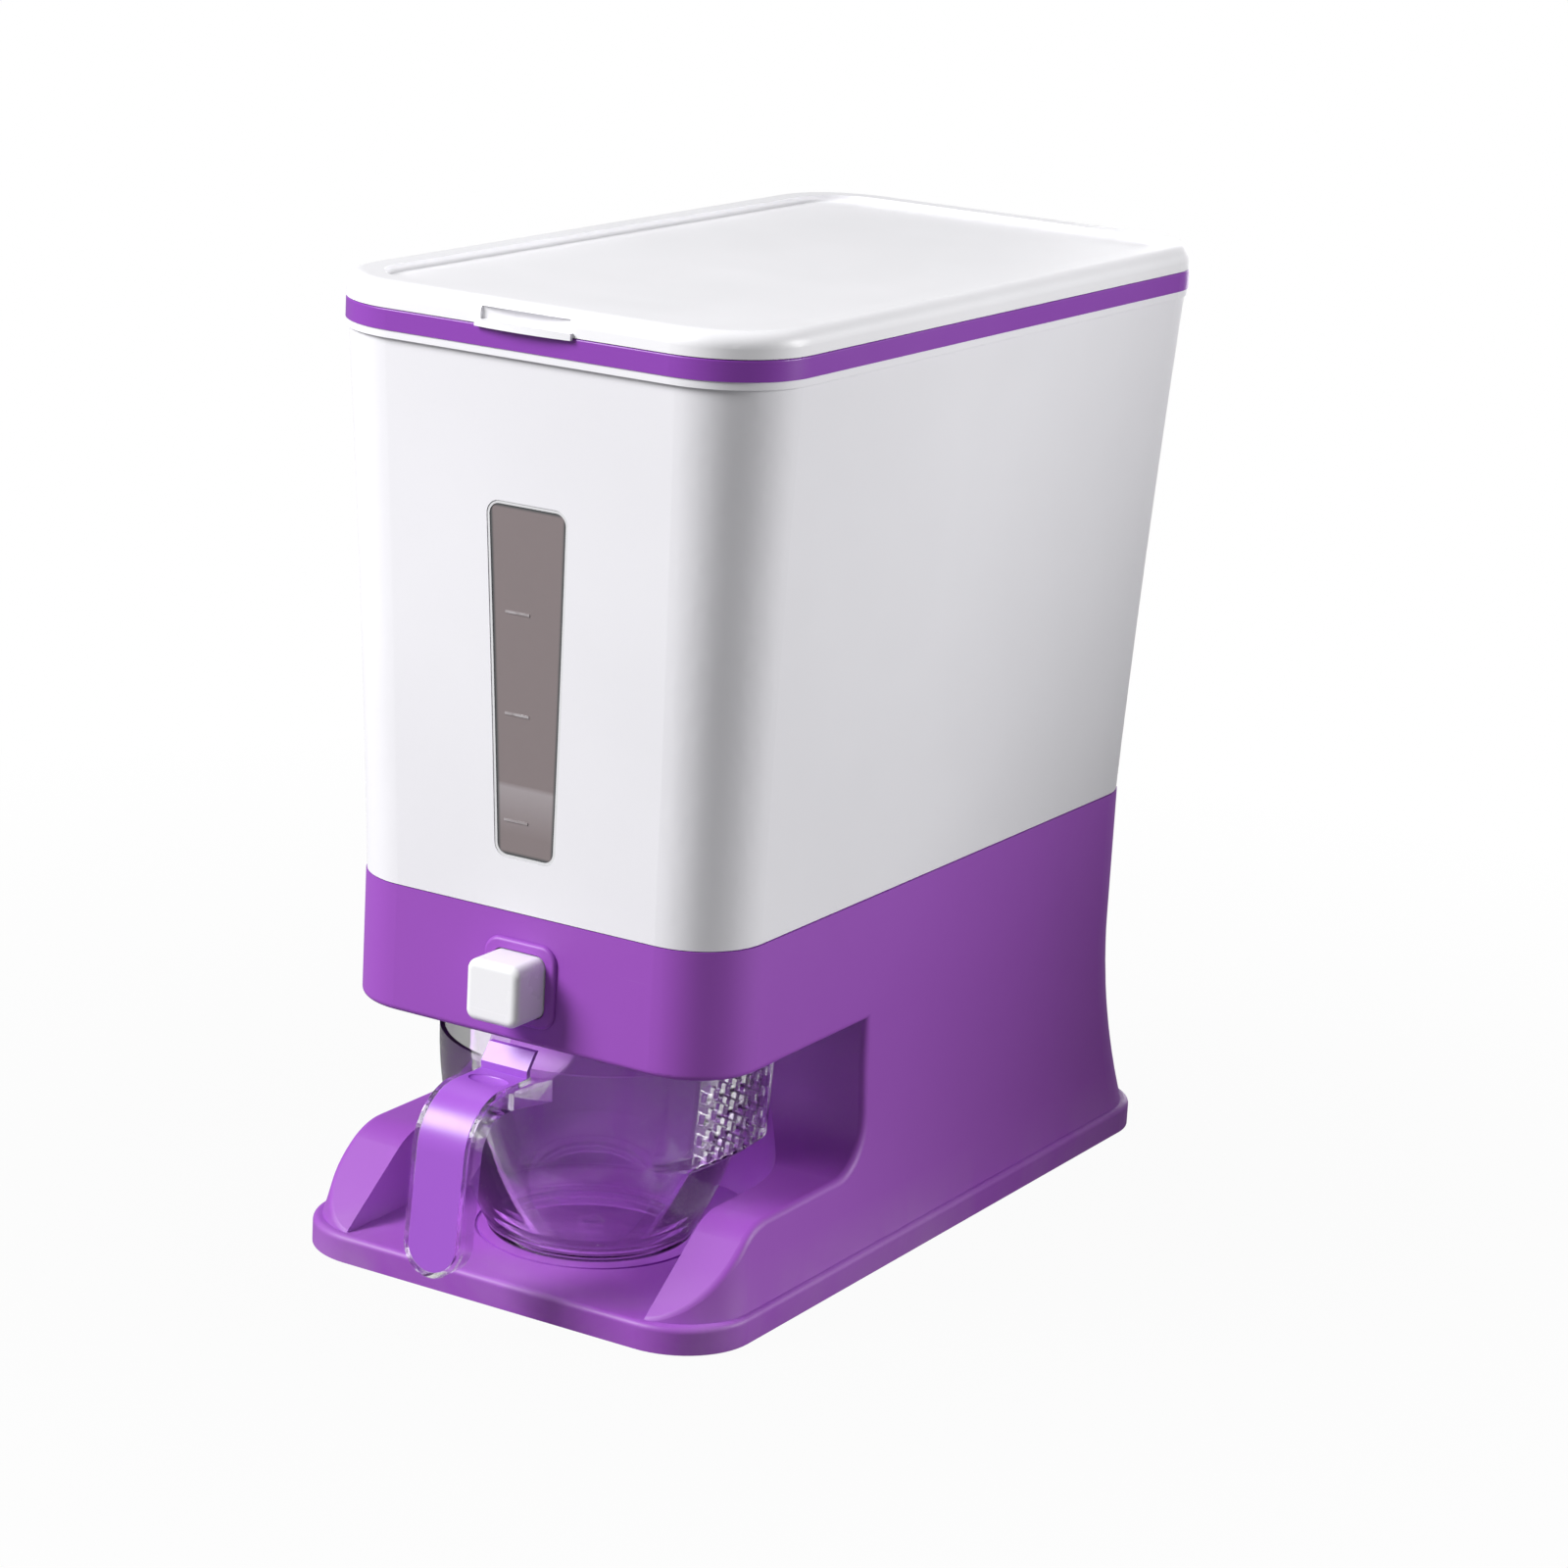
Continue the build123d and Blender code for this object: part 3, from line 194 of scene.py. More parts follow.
def new_group(name, inputs, outputs):
    """Shader node group with named sockets: returns the tree, its input node and its output node."""
    tree = bpy.data.node_groups.new(name, "ShaderNodeTree")
    for label, kind, value in inputs:
        socket = tree.interface.new_socket(name=label, in_out="INPUT", socket_type=kind)
        if value is not None:
            socket.default_value = value
    for label, kind in outputs:
        tree.interface.new_socket(name=label, in_out="OUTPUT", socket_type=kind)
    return tree, tree.nodes.new("NodeGroupInput"), tree.nodes.new("NodeGroupOutput")


def build_moulded_group():
    """Moulded plastic: fine grain in the bump, smudges in the gloss, rub marks and dust in the colour."""
    vector, number, colour = "NodeSocketVector", "NodeSocketFloat", "NodeSocketColor"
    tree, given, result = new_group("moulded_surface", [
        ("Vector", vector, None), ("Colour", colour, (0.8, 0.8, 0.8, 1.0)), ("Grain Scale", number, 900.0),
        ("Gloss", number, 0.35), ("Smudge", number, 0.08), ("Rub", number, 0.05), ("Dust", number, 0.05),
    ], [("Colour", colour), ("Roughness", number), ("Height", number)])
    grain = node_of(tree, "ShaderNodeTexNoise", {"Detail": 3.0, "Roughness": 0.6})
    orange = node_of(tree, "ShaderNodeTexNoise", {"Scale": 190.0, "Detail": 1.0, "Roughness": 0.4})
    smear = node_of(tree, "ShaderNodeTexNoise", {
        "Scale": 16.0, "Detail": 5.0, "Roughness": 0.62, "Distortion": 0.6})
    cloud = node_of(tree, "ShaderNodeTexNoise", {"Scale": 7.0, "Detail": 3.0, "Roughness": 0.5})
    stretch = node_of(tree, "ShaderNodeMapping", {
        "Scale": (24.0, 1500.0, 700.0), "Rotation": (0.35, 0.5, 0.6)})
    scratch = node_of(tree, "ShaderNodeTexNoise", {"Scale": 1.0, "Detail": 2.0, "Roughness": 0.5})
    scratch_cut = node_of(tree, "ShaderNodeMapRange", {"From Min": 0.73, "From Max": 0.83})
    smear_cut = node_of(tree, "ShaderNodeMapRange", {"From Min": 0.40, "From Max": 0.70})
    join(tree,
         (given.outputs["Vector"], grain.inputs["Vector"]),
         (given.outputs["Grain Scale"], grain.inputs["Scale"]),
         (given.outputs["Vector"], orange.inputs["Vector"]),
         (given.outputs["Vector"], smear.inputs["Vector"]),
         (given.outputs["Vector"], cloud.inputs["Vector"]),
         (given.outputs["Vector"], stretch.inputs["Vector"]),
         (stretch.outputs["Vector"], scratch.inputs["Vector"]),
         (scratch.outputs["Fac"], scratch_cut.inputs["Value"]),
         (smear.outputs["Fac"], smear_cut.inputs["Value"]))
    # Height: grain and a slight orange peel
    peel = node_of(tree, "ShaderNodeMath", {1: 0.25}, operation="MULTIPLY")
    height = node_of(tree, "ShaderNodeMath", operation="ADD")
    rubbed = node_of(tree, "ShaderNodeMath", {1: -0.12}, operation="MULTIPLY")
    total = node_of(tree, "ShaderNodeMath", operation="ADD")
    join(tree,
         (orange.outputs["Fac"], peel.inputs[0]), (grain.outputs["Fac"], height.inputs[0]),
         (peel.outputs[0], height.inputs[1]), (scratch_cut.outputs["Result"], rubbed.inputs[0]),
         (height.outputs[0], total.inputs[0]), (rubbed.outputs[0], total.inputs[1]),
         (total.outputs[0], result.inputs["Height"]))
    # Roughness: the gloss value, more where smeared or scratched
    smudge = node_of(tree, "ShaderNodeMath", operation="MULTIPLY")
    rough = node_of(tree, "ShaderNodeMath", operation="ADD")
    scuffed = node_of(tree, "ShaderNodeMath", {1: 0.12}, operation="MULTIPLY")
    rough_total = node_of(tree, "ShaderNodeMath", operation="ADD", use_clamp=True)
    join(tree,
         (smear_cut.outputs["Result"], smudge.inputs[0]), (given.outputs["Smudge"], smudge.inputs[1]),
         (given.outputs["Gloss"], rough.inputs[0]), (smudge.outputs[0], rough.inputs[1]),
         (scratch_cut.outputs["Result"], scuffed.inputs[0]), (rough.outputs[0], rough_total.inputs[0]),
         (scuffed.outputs[0], rough_total.inputs[1]), (rough_total.outputs[0], result.inputs["Roughness"]))
    # Colour: clouded a little, paler at rub marks, greyer where dust settles low down
    shade = node_of(tree, "ShaderNodeMapRange", {
        "From Min": 0.3, "From Max": 0.7, "To Min": 0.97, "To Max": 1.02})
    toned = node_of(tree, "ShaderNodeVectorMath", operation="SCALE")
    rub_mask = node_of(tree, "ShaderNodeMath", operation="MULTIPLY")
    rub_mix = node_of(tree, "ShaderNodeMix", {"B": (0.8, 0.78, 0.82, 1.0)}, data_type="RGBA")
    split = node_of(tree, "ShaderNodeSeparateXYZ")
    low = node_of(tree, "ShaderNodeMapRange", {"From Min": dust_height, "From Max": 0.0})
    dust_noise = node_of(tree, "ShaderNodeMath", operation="MULTIPLY")
    dust_mask = node_of(tree, "ShaderNodeMath", operation="MULTIPLY", use_clamp=True)
    dust_mix = node_of(tree, "ShaderNodeMix", {"B": (0.55, 0.53, 0.5, 1.0)}, data_type="RGBA")
    join(tree,
         (cloud.outputs["Fac"], shade.inputs["Value"]), (given.outputs["Colour"], toned.inputs[0]),
         (shade.outputs["Result"], toned.inputs["Scale"]),
         (scratch_cut.outputs["Result"], rub_mask.inputs[0]), (given.outputs["Rub"], rub_mask.inputs[1]),
         (rub_mask.outputs[0], rub_mix.inputs["Factor"]), (toned.outputs["Vector"], rub_mix.inputs["A"]),
         (given.outputs["Vector"], split.inputs["Vector"]), (split.outputs["Z"], low.inputs["Value"]),
         (low.outputs["Result"], dust_noise.inputs[0]), (smear_cut.outputs["Result"], dust_noise.inputs[1]),
         (dust_noise.outputs[0], dust_mask.inputs[0]), (given.outputs["Dust"], dust_mask.inputs[1]),
         (dust_mask.outputs[0], dust_mix.inputs["Factor"]),
         (rub_mix.outputs["Result"], dust_mix.inputs["A"]),
         (dust_mix.outputs["Result"], result.inputs["Colour"]))
    return tree


moulded_group = build_moulded_group()


def new_material(name):
    """Empty material with an output and a Principled shader."""
    material = bpy.data.materials.new(name)
    material.use_nodes = True
    tree = material.node_tree
    tree.nodes.clear()
    output = tree.nodes.new("ShaderNodeOutputMaterial")
    shader = tree.nodes.new("ShaderNodeBsdfPrincipled")
    join(tree, (shader.outputs["BSDF"], output.inputs["Surface"]))
    return material, tree, shader


def moulded_plastic(name, colour, gloss, grain_scale, grain_depth, smudge, rub, dust):
    """Plastic with the moulded surface's own colour, gloss and grain."""
    material, tree, shader = new_material(name)
    places = tree.nodes.new("ShaderNodeTexCoord")
    surface = node_of(tree, "ShaderNodeGroup", node_tree=moulded_group)
    for key, value in (("Colour", (*colour, 1.0)), ("Grain Scale", grain_scale), ("Gloss", gloss),
                       ("Smudge", smudge), ("Rub", rub), ("Dust", dust)):
        surface.inputs[key].default_value = value
    bump = node_of(tree, "ShaderNodeBump", {"Strength": 0.25, "Distance": grain_depth})
    join(tree,
         (places.outputs["Object"], surface.inputs["Vector"]),
         (surface.outputs["Colour"], shader.inputs["Base Color"]),
         (surface.outputs["Roughness"], shader.inputs["Roughness"]),
         (surface.outputs["Height"], bump.inputs["Height"]),
         (bump.outputs["Normal"], shader.inputs["Normal"]))
    shader.inputs["IOR"].default_value = moulded_ior
    return material


def build_pane_group():
    """Window pane: masks for its darker rim, its three pale level marks and the painted reflection, a soft
    pale band low down.

    The rim's mask rises within rim_width of the pane's slanted edges, whose half width is
    half = low_half + (top_half - low_half) * (z - low) / (top - low), and of its two ends.
    """
    number = "NodeSocketFloat"
    tree, given, result = new_group("pane_masks", [("Vector", "NodeSocketVector", None)],
                                    [("Rim", number), ("Mark", number), ("Band", number)])
    split = node_of(tree, "ShaderNodeSeparateXYZ")
    half = node_of(tree, "ShaderNodeMapRange", {
        "From Min": pane_low, "From Max": pane_top, "To Min": pane_low_half, "To Max": pane_top_half})
    aside = node_of(tree, "ShaderNodeMath", operation="ABSOLUTE")
    side_room = node_of(tree, "ShaderNodeMath", operation="SUBTRACT")
    low_room = node_of(tree, "ShaderNodeMath", {1: pane_low}, operation="SUBTRACT")
    top_room = node_of(tree, "ShaderNodeMath", {0: pane_top}, operation="SUBTRACT")
    end_room = node_of(tree, "ShaderNodeMath", operation="MINIMUM")
    room = node_of(tree, "ShaderNodeMath", operation="MINIMUM")
    rim = node_of(tree, "ShaderNodeMapRange", {"From Min": rim_width, "From Max": rim_width / 3})
    join(tree,
         (given.outputs["Vector"], split.inputs["Vector"]), (split.outputs["Z"], half.inputs["Value"]),
         (split.outputs["X"], aside.inputs[0]), (half.outputs["Result"], side_room.inputs[0]),
         (aside.outputs[0], side_room.inputs[1]), (split.outputs["Z"], low_room.inputs[0]),
         (split.outputs["Z"], top_room.inputs[1]), (low_room.outputs[0], end_room.inputs[0]),
         (top_room.outputs[0], end_room.inputs[1]), (side_room.outputs[0], room.inputs[0]),
         (end_room.outputs[0], room.inputs[1]), (room.outputs[0], rim.inputs["Value"]),
         (rim.outputs["Result"], result.inputs["Rim"]))
    # Marks: bars at the three levels, worn unevenly along their length
    worn = node_of(tree, "ShaderNodeTexNoise", {"Scale": 260.0, "Detail": 2.0})
    worn_cut = node_of(tree, "ShaderNodeMapRange", {
        "From Min": 0.3, "From Max": 0.6, "To Min": 0.35, "To Max": 1.0})
    join(tree,
         (given.outputs["Vector"], worn.inputs["Vector"]), (worn.outputs["Fac"], worn_cut.inputs["Value"]))
    marks = None
    for level in mark_levels:
        near = node_of(tree, "ShaderNodeMath", {1: level, 2: mark_half_height}, operation="COMPARE")
        join(tree, (split.outputs["Z"], near.inputs[0]))
        if marks is None:
            marks = near
        else:
            both = node_of(tree, "ShaderNodeMath", operation="ADD")
            join(tree, (marks.outputs[0], both.inputs[0]), (near.outputs[0], both.inputs[1]))
            marks = both
    along = node_of(tree, "ShaderNodeMath", {1: mark_middle, 2: mark_half_length}, operation="COMPARE")
    bars = node_of(tree, "ShaderNodeMath", operation="MULTIPLY")
    faded = node_of(tree, "ShaderNodeMath", operation="MULTIPLY")
    join(tree,
         (split.outputs["X"], along.inputs[0]), (marks.outputs[0], bars.inputs[0]),
         (along.outputs[0], bars.inputs[1]), (bars.outputs[0], faded.inputs[0]),
         (worn_cut.outputs["Result"], faded.inputs[1]), (faded.outputs[0], result.inputs["Mark"]))
    # The pale band is a painted reflection that starts sharply at the top and fades downwards
    above = node_of(tree, "ShaderNodeMapRange", {"From Min": reflection_band_top, "From Max": reflection_band_top - reflection_band_edge})
    below = node_of(tree, "ShaderNodeMapRange", {"From Min": reflection_band_low, "From Max": reflection_band_top})
    band = node_of(tree, "ShaderNodeMath", operation="MULTIPLY")
    join(tree,
         (split.outputs["Z"], above.inputs["Value"]), (split.outputs["Z"], below.inputs["Value"]),
         (above.outputs["Result"], band.inputs[0]), (below.outputs["Result"], band.inputs[1]),
         (band.outputs[0], result.inputs["Band"]))
    return tree


def pane_plastic(name, colour, rim_colour, mark_colour, reflection_band_colour, gloss, smudge, ior, clearness):
    """Smoked pane, darker at its rim, with pale marks and a soft pale band of painted reflection."""
    material, tree, shader = clear_plastic(name, colour, gloss, smudge, ior, clearness, thin_share=0.0)
    places = tree.nodes.new("ShaderNodeTexCoord")
    masks = node_of(tree, "ShaderNodeGroup", node_tree=pane_group)
    # The band's pale colour is a painted reflection mixed over the pane's own colour
    reflection_mixed = node_of(tree, "ShaderNodeMix", {
        "A": (*colour, 1.0), "B": (*reflection_band_colour, 1.0)}, data_type="RGBA")
    rimmed = node_of(tree, "ShaderNodeMix", {"B": (*rim_colour, 1.0)}, data_type="RGBA")
    marked = node_of(tree, "ShaderNodeMix", {"B": (*mark_colour, 1.0)}, data_type="RGBA")
    join(tree,
         (places.outputs["Object"], masks.inputs["Vector"]),
         (masks.outputs["Band"], reflection_mixed.inputs["Factor"]), (reflection_mixed.outputs["Result"], rimmed.inputs["A"]),
         (masks.outputs["Rim"], rimmed.inputs["Factor"]), (rimmed.outputs["Result"], marked.inputs["A"]),
         (masks.outputs["Mark"], marked.inputs["Factor"]),
         (marked.outputs["Result"], shader.inputs["Base Color"]))
    return material


def clear_plastic(name, colour, gloss, smudge, ior, clearness, thin_share):
    """See-through plastic with faint smears in its gloss and a slight waviness.

    thin_share of it passes light straight on and mirrors by Fresnel's law, as a thin wall does. Each face
    lets shadow_share of a lamp's light through.
    """
    material, tree, shader = new_material(name)
    places = tree.nodes.new("ShaderNodeTexCoord")
    smear = node_of(tree, "ShaderNodeTexNoise", {
        "Scale": 22.0, "Detail": 4.0, "Roughness": 0.6, "Distortion": 0.8})
    cut = node_of(tree, "ShaderNodeMapRange", {
        "From Min": 0.45, "From Max": 0.75, "To Min": gloss, "To Max": gloss + smudge})
    wave = node_of(tree, "ShaderNodeTexNoise", {"Scale": 34.0, "Detail": 1.0})
    bump = node_of(tree, "ShaderNodeBump", {"Strength": 0.05, "Distance": 0.0004})
    join(tree,
         (places.outputs["Object"], smear.inputs["Vector"]),
         (places.outputs["Object"], wave.inputs["Vector"]), (smear.outputs["Fac"], cut.inputs["Value"]),
         (cut.outputs["Result"], shader.inputs["Roughness"]), (wave.outputs["Fac"], bump.inputs["Height"]),
         (bump.outputs["Normal"], shader.inputs["Normal"]))
    shader.inputs["Base Color"].default_value = (*colour, 1.0)
    shader.inputs["Transmission Weight"].default_value = clearness
    shader.inputs["IOR"].default_value = ior
    if thin_share > 0:
        output = next(node for node in tree.nodes if node.type == "OUTPUT_MATERIAL")
        passed = node_of(tree, "ShaderNodeBsdfTransparent", {"Color": (*colour, 1.0)})
        mirror = node_of(tree, "ShaderNodeBsdfGlossy", {"Color": (1.0, 1.0, 1.0, 1.0)})
        bend = node_of(tree, "ShaderNodeFresnel", {"IOR": thin_ior})
        path = tree.nodes.new("ShaderNodeLightPath")
        share = node_of(tree, "ShaderNodeMapRange", {"To Min": thin_share, "To Max": shadow_share})
        unlit = node_of(tree, "ShaderNodeMath", operation="SUBTRACT", use_clamp=True)
        thin = tree.nodes.new("ShaderNodeMixShader")
        whole = tree.nodes.new("ShaderNodeMixShader")
        join(tree,
             (bump.outputs["Normal"], bend.inputs["Normal"]),
             (bump.outputs["Normal"], mirror.inputs["Normal"]),
             (cut.outputs["Result"], mirror.inputs["Roughness"]), (bend.outputs["Fac"], unlit.inputs[0]),
             (path.outputs["Is Shadow Ray"], unlit.inputs[1]), (unlit.outputs[0], thin.inputs["Fac"]),
             (passed.outputs[0], thin.inputs[1]), (mirror.outputs[0], thin.inputs[2]),
             (path.outputs["Is Shadow Ray"], share.inputs["Value"]),
             (share.outputs["Result"], whole.inputs["Fac"]), (shader.outputs["BSDF"], whole.inputs[1]),
             (thin.outputs[0], whole.inputs[2]), (whole.outputs[0], output.inputs["Surface"]))
    return material, tree, shader


def drawn_spring(name, material):
    """Coil that stands for the return spring: a round wire of even gauge on a helix about the button's axis.

    Along the wire the angle runs evenly through all turns while the place on the axis follows
    y = front + reach * (t - share * sin(2 pi t) / (2 pi)), which draws the end turns together. The wire's
    section is a circle in the plane of the helix's own normal and binormal, and flat ends close it.
    """
    low, high = (np.array(corner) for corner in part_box("return_spring"))
    centre = (low + high) / 2
    gauge = spring_gauge / 2
    radius = (high[0] - low[0]) / 2 - gauge
    t = np.linspace(0.0, 1.0, spring_turns * spring_turn_steps + 1)
    angle = 2 * np.pi * spring_turns * t
    reach = high[1] - low[1] - 2 * gauge
    along = low[1] + gauge + reach * (t - spring_end_share * np.sin(2 * np.pi * t) / (2 * np.pi))
    line = np.stack([centre[0] + radius * np.cos(angle), along, centre[2] + radius * np.sin(angle)], axis=-1)
    tangent = np.gradient(line, axis=0)
    tangent /= np.linalg.norm(tangent, axis=1, keepdims=True)
    normal = np.stack([np.cos(angle), np.zeros_like(angle), np.sin(angle)], axis=-1)
    binormal = np.cross(tangent, normal)
    around = np.linspace(0.0, 2 * np.pi, spring_wire_steps, endpoint=False)[None, :, None]
    circle = np.cos(around) * normal[:, None] - np.sin(around) * binormal[:, None]
    points = line[:, None] + gauge * circle
    spring = add_piece(name, sheet_mesh(name, points, closed_v=True, capped=True), material)
    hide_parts("return_spring")
    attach(spring, "base")
    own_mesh(spring)


def gate_mark(name, material):
    """Moulding mark in the middle of the jug's floor: a low nub inside a small ring.

    The top is a height over the radius r, turned round the jug's axis:
    z = floor + nub * exp(-(r / nub_width)^2) + ring * exp(-((r - ring_radius) / ring_width)^2).
    Its foot is a flat disc just under the floor, and small flat ends close both poles.
    """
    r = np.linspace(gate_pole, gate_reach, gate_rows)
    z = jug_floor_z + gate_nub * np.exp(-((r / gate_nub_width) ** 2))
    z += gate_ring * np.exp(-(((r - gate_ring_radius) / gate_ring_width) ** 2))
    foot = np.full(2, jug_floor_z - gate_bury)
    r, z = np.append(r, [gate_reach, gate_pole]), np.append(z, foot)
    around = np.linspace(0.0, 2 * np.pi, gate_columns, endpoint=False)[None, :]
    x, y = r[:, None] * np.cos(around), jug_axis_y + r[:, None] * np.sin(around)
    points = np.stack([x, y, np.broadcast_to(z[:, None], x.shape)], axis=-1)
    mark = add_piece(name, sheet_mesh(name, points, closed_v=True, capped=True), material)
    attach(mark, "jug")


def brushed_steel(name):
    """Zinc plated steel with fine drawn lines."""
    material, tree, shader = new_material(name)
    places = tree.nodes.new("ShaderNodeTexCoord")
    stretch = node_of(tree, "ShaderNodeMapping", {"Scale": (1.0, 1.0, 14.0)})
    lines = node_of(tree, "ShaderNodeTexNoise", {"Scale": 420.0, "Detail": 3.0})
    tone = node_of(tree, "ShaderNodeMapRange", {
        "From Min": 0.3, "From Max": 0.7, "To Min": 0.22, "To Max": 0.42})
    tint = node_of(tree, "ShaderNodeMix", {
        "A": (0.50, 0.50, 0.53, 1.0), "B": (0.68, 0.68, 0.66, 1.0)}, data_type="RGBA")
    bump = node_of(tree, "ShaderNodeBump", {"Strength": 0.25, "Distance": 0.00005})
    join(tree,
         (places.outputs["Object"], stretch.inputs["Vector"]),
         (stretch.outputs["Vector"], lines.inputs["Vector"]), (lines.outputs["Fac"], tone.inputs["Value"]),
         (tone.outputs["Result"], shader.inputs["Roughness"]),
         (lines.outputs["Fac"], tint.inputs["Factor"]),
         (tint.outputs["Result"], shader.inputs["Base Color"]),
         (lines.outputs["Fac"], bump.inputs["Height"]), (bump.outputs["Normal"], shader.inputs["Normal"]))
    shader.inputs["Metallic"].default_value = 1.0
    return material


def any_ray(tree, path, gloss_share):
    """1 for rays from the camera and through glass, gloss_share for gloss, and 0 for all other light."""
    seen = node_of(tree, "ShaderNodeMath", operation="ADD", use_clamp=True)
    gloss = node_of(tree, "ShaderNodeMath", {1: gloss_share}, operation="MULTIPLY")
    seen_all = node_of(tree, "ShaderNodeMath", operation="ADD", use_clamp=True)
    join(tree,
         (path.outputs["Is Camera Ray"], seen.inputs[0]),
         (path.outputs["Is Transmission Ray"], seen.inputs[1]),
         (path.outputs["Is Glossy Ray"], gloss.inputs[0]), (gloss.outputs[0], seen_all.inputs[0]),
         (seen.outputs[0], seen_all.inputs[1]))
    return seen_all.outputs[0]


def white_to_camera(name, colour, near_share):
    """Matt ground, white to the camera, in gloss and through glass, that keeps the shadow near the object."""
    material = bpy.data.materials.new(name)
    material.use_nodes = True
    tree = material.node_tree
    tree.nodes.clear()
    output = tree.nodes.new("ShaderNodeOutputMaterial")
    matt = node_of(tree, "ShaderNodeBsdfDiffuse", {"Color": (*colour, 1.0)})
    glow = node_of(tree, "ShaderNodeEmission", {"Color": (1.0, 1.0, 1.0, 1.0), "Strength": 1.0})
    path = tree.nodes.new("ShaderNodeLightPath")
    places = tree.nodes.new("ShaderNodeTexCoord")
    reach = node_of(tree, "ShaderNodeVectorMath", operation="LENGTH")
    share = node_of(tree, "ShaderNodeMapRange", {
        "From Min": shadow_near, "From Max": shadow_far, "To Min": near_share, "To Max": 1.0})
    part = node_of(tree, "ShaderNodeMath", operation="MULTIPLY")
    mix = tree.nodes.new("ShaderNodeMixShader")
    join(tree,
         (places.outputs["Object"], reach.inputs[0]), (reach.outputs["Value"], share.inputs["Value"]),
         (any_ray(tree, path, ground_gloss), part.inputs[0]), (share.outputs["Result"], part.inputs[1]),
         (part.outputs[0], mix.inputs["Fac"]), (matt.outputs[0], mix.inputs[1]),
         (glow.outputs[0], mix.inputs[2]), (mix.outputs[0], output.inputs["Surface"]))
    return material


def add_world(fill):
    """White backdrop for the camera, for gloss and through glass, with a plain soft fill for the rest."""
    world = bpy.data.worlds.new("studio")
    world.use_nodes = True
    tree = world.node_tree
    tree.nodes.clear()
    output = tree.nodes.new("ShaderNodeOutputWorld")
    soft = node_of(tree, "ShaderNodeBackground", {"Color": (1.0, 1.0, 1.0, 1.0), "Strength": fill})
    white = node_of(tree, "ShaderNodeBackground", {"Color": (1.0, 1.0, 1.0, 1.0), "Strength": 1.0})
    path = tree.nodes.new("ShaderNodeLightPath")
    seen = any_ray(tree, path, sky_gloss)
    mix = tree.nodes.new("ShaderNodeMixShader")
    join(tree,
         (seen, mix.inputs["Fac"]), (soft.outputs[0], mix.inputs[1]), (white.outputs[0], mix.inputs[2]),
         (mix.outputs[0], output.inputs["Surface"]))
    bpy.context.scene.world = world


def sheet_mesh(name, points, closed_v=False, capped=False):
    """Mesh of quads over a grid of points, array (rows, columns, 3). Capped closes its first and last row."""
    rows, columns, _ = points.shape
    index = np.arange(rows * columns).reshape(rows, columns)
    grid = np.hstack([index, index[:, :1]]) if closed_v else index
    faces = np.stack([grid[:-1, :-1], grid[1:, :-1], grid[1:, 1:], grid[:-1, 1:]], axis=-1)
    mesh = bpy.data.meshes.new(name)
    ends = [index[0].tolist(), index[-1, ::-1].tolist()] if capped else []
    mesh.from_pydata(points.reshape(-1, 3).tolist(), [], faces.reshape(-1, 4).tolist() + ends)
    mesh.validate()
    mesh.shade_smooth()
    return mesh


def add_piece(name, mesh, material):
    """Object at the origin for a mesh, with its material."""
    piece = bpy.data.objects.new(name, mesh)
    bpy.context.scene.collection.objects.link(piece)
    mesh.materials.append(material)
    return piece


def add_flag(name, corners):
    """Black card between a lamp and the object, unseen by the camera, that makes the light fall off.

    Its points run straight from one upright edge to the other: (1 - share) * edge + share * other edge.
    """
    low, high = np.array([corners[0], corners[3]]), np.array([corners[1], corners[2]])
    share = np.linspace(0.0, 1.0, flag_rows)[:, None, None]
    flag = add_piece(name, sheet_mesh(name, low[None] * (1.0 - share) + high[None] * share), flag_black)
    flag.visible_camera = False
    flag.visible_glossy = False
    flag.visible_transmission = False


def add_floor(material):
    """Flat square ground, large enough to pass behind the object: a plain grid at z 0."""
    across = np.linspace(-floor_half, floor_half, floor_rows)
    x, y = np.meshgrid(across, across, indexing="ij")
    points = np.stack([x, y, np.zeros_like(x)], axis=-1)
    floor = add_piece("floor", sheet_mesh("floor", points), material)


# Materials
white_shell = moulded_plastic(
    "white_satin_moulding", colour=(0.865, 0.857, 0.897), gloss=0.42, grain_scale=1500.0,
    grain_depth=0.00004, smudge=0.06, rub=0.02, dust=0.12)
white_lid = moulded_plastic(
    "white_lid_moulding", colour=(0.91, 0.905, 0.935), gloss=0.36, grain_scale=1300.0,
    grain_depth=0.00003, smudge=0.06, rub=0.02, dust=0.05)
white_button = moulded_plastic(
    "white_button_moulding", colour=(0.90, 0.90, 0.92), gloss=0.26, grain_scale=1300.0,
    grain_depth=0.00002, smudge=0.05, rub=0.01, dust=0.05)
purple_shell = moulded_plastic(
    "purple_satin_moulding", colour=(0.32, 0.074, 0.495), gloss=0.46, grain_scale=1400.0,
    grain_depth=0.00004, smudge=0.06, rub=0.03, dust=0.15)
purple_band = moulded_plastic(
    "purple_band_moulding", colour=(0.36, 0.10, 0.62), gloss=0.3, grain_scale=1400.0,
    grain_depth=0.00003, smudge=0.06, rub=0.03, dust=0.05)
purple_collar = moulded_plastic(
    "purple_collar_moulding", colour=(0.265, 0.054, 0.44), gloss=0.3, grain_scale=1400.0,
    grain_depth=0.00003, smudge=0.06, rub=0.03, dust=0.05)
grey_plastic = moulded_plastic(
    "grey_plain_moulding", colour=(0.55, 0.55, 0.58), gloss=0.42, grain_scale=1100.0,
    grain_depth=0.00006, smudge=0.1, rub=0.05, dust=0.2)
seal_rubber = moulded_plastic(
    "pale_silicone", colour=(0.72, 0.72, 0.74), gloss=0.5, grain_scale=900.0,
    grain_depth=0.00004, smudge=0.1, rub=0.02, dust=0.1)
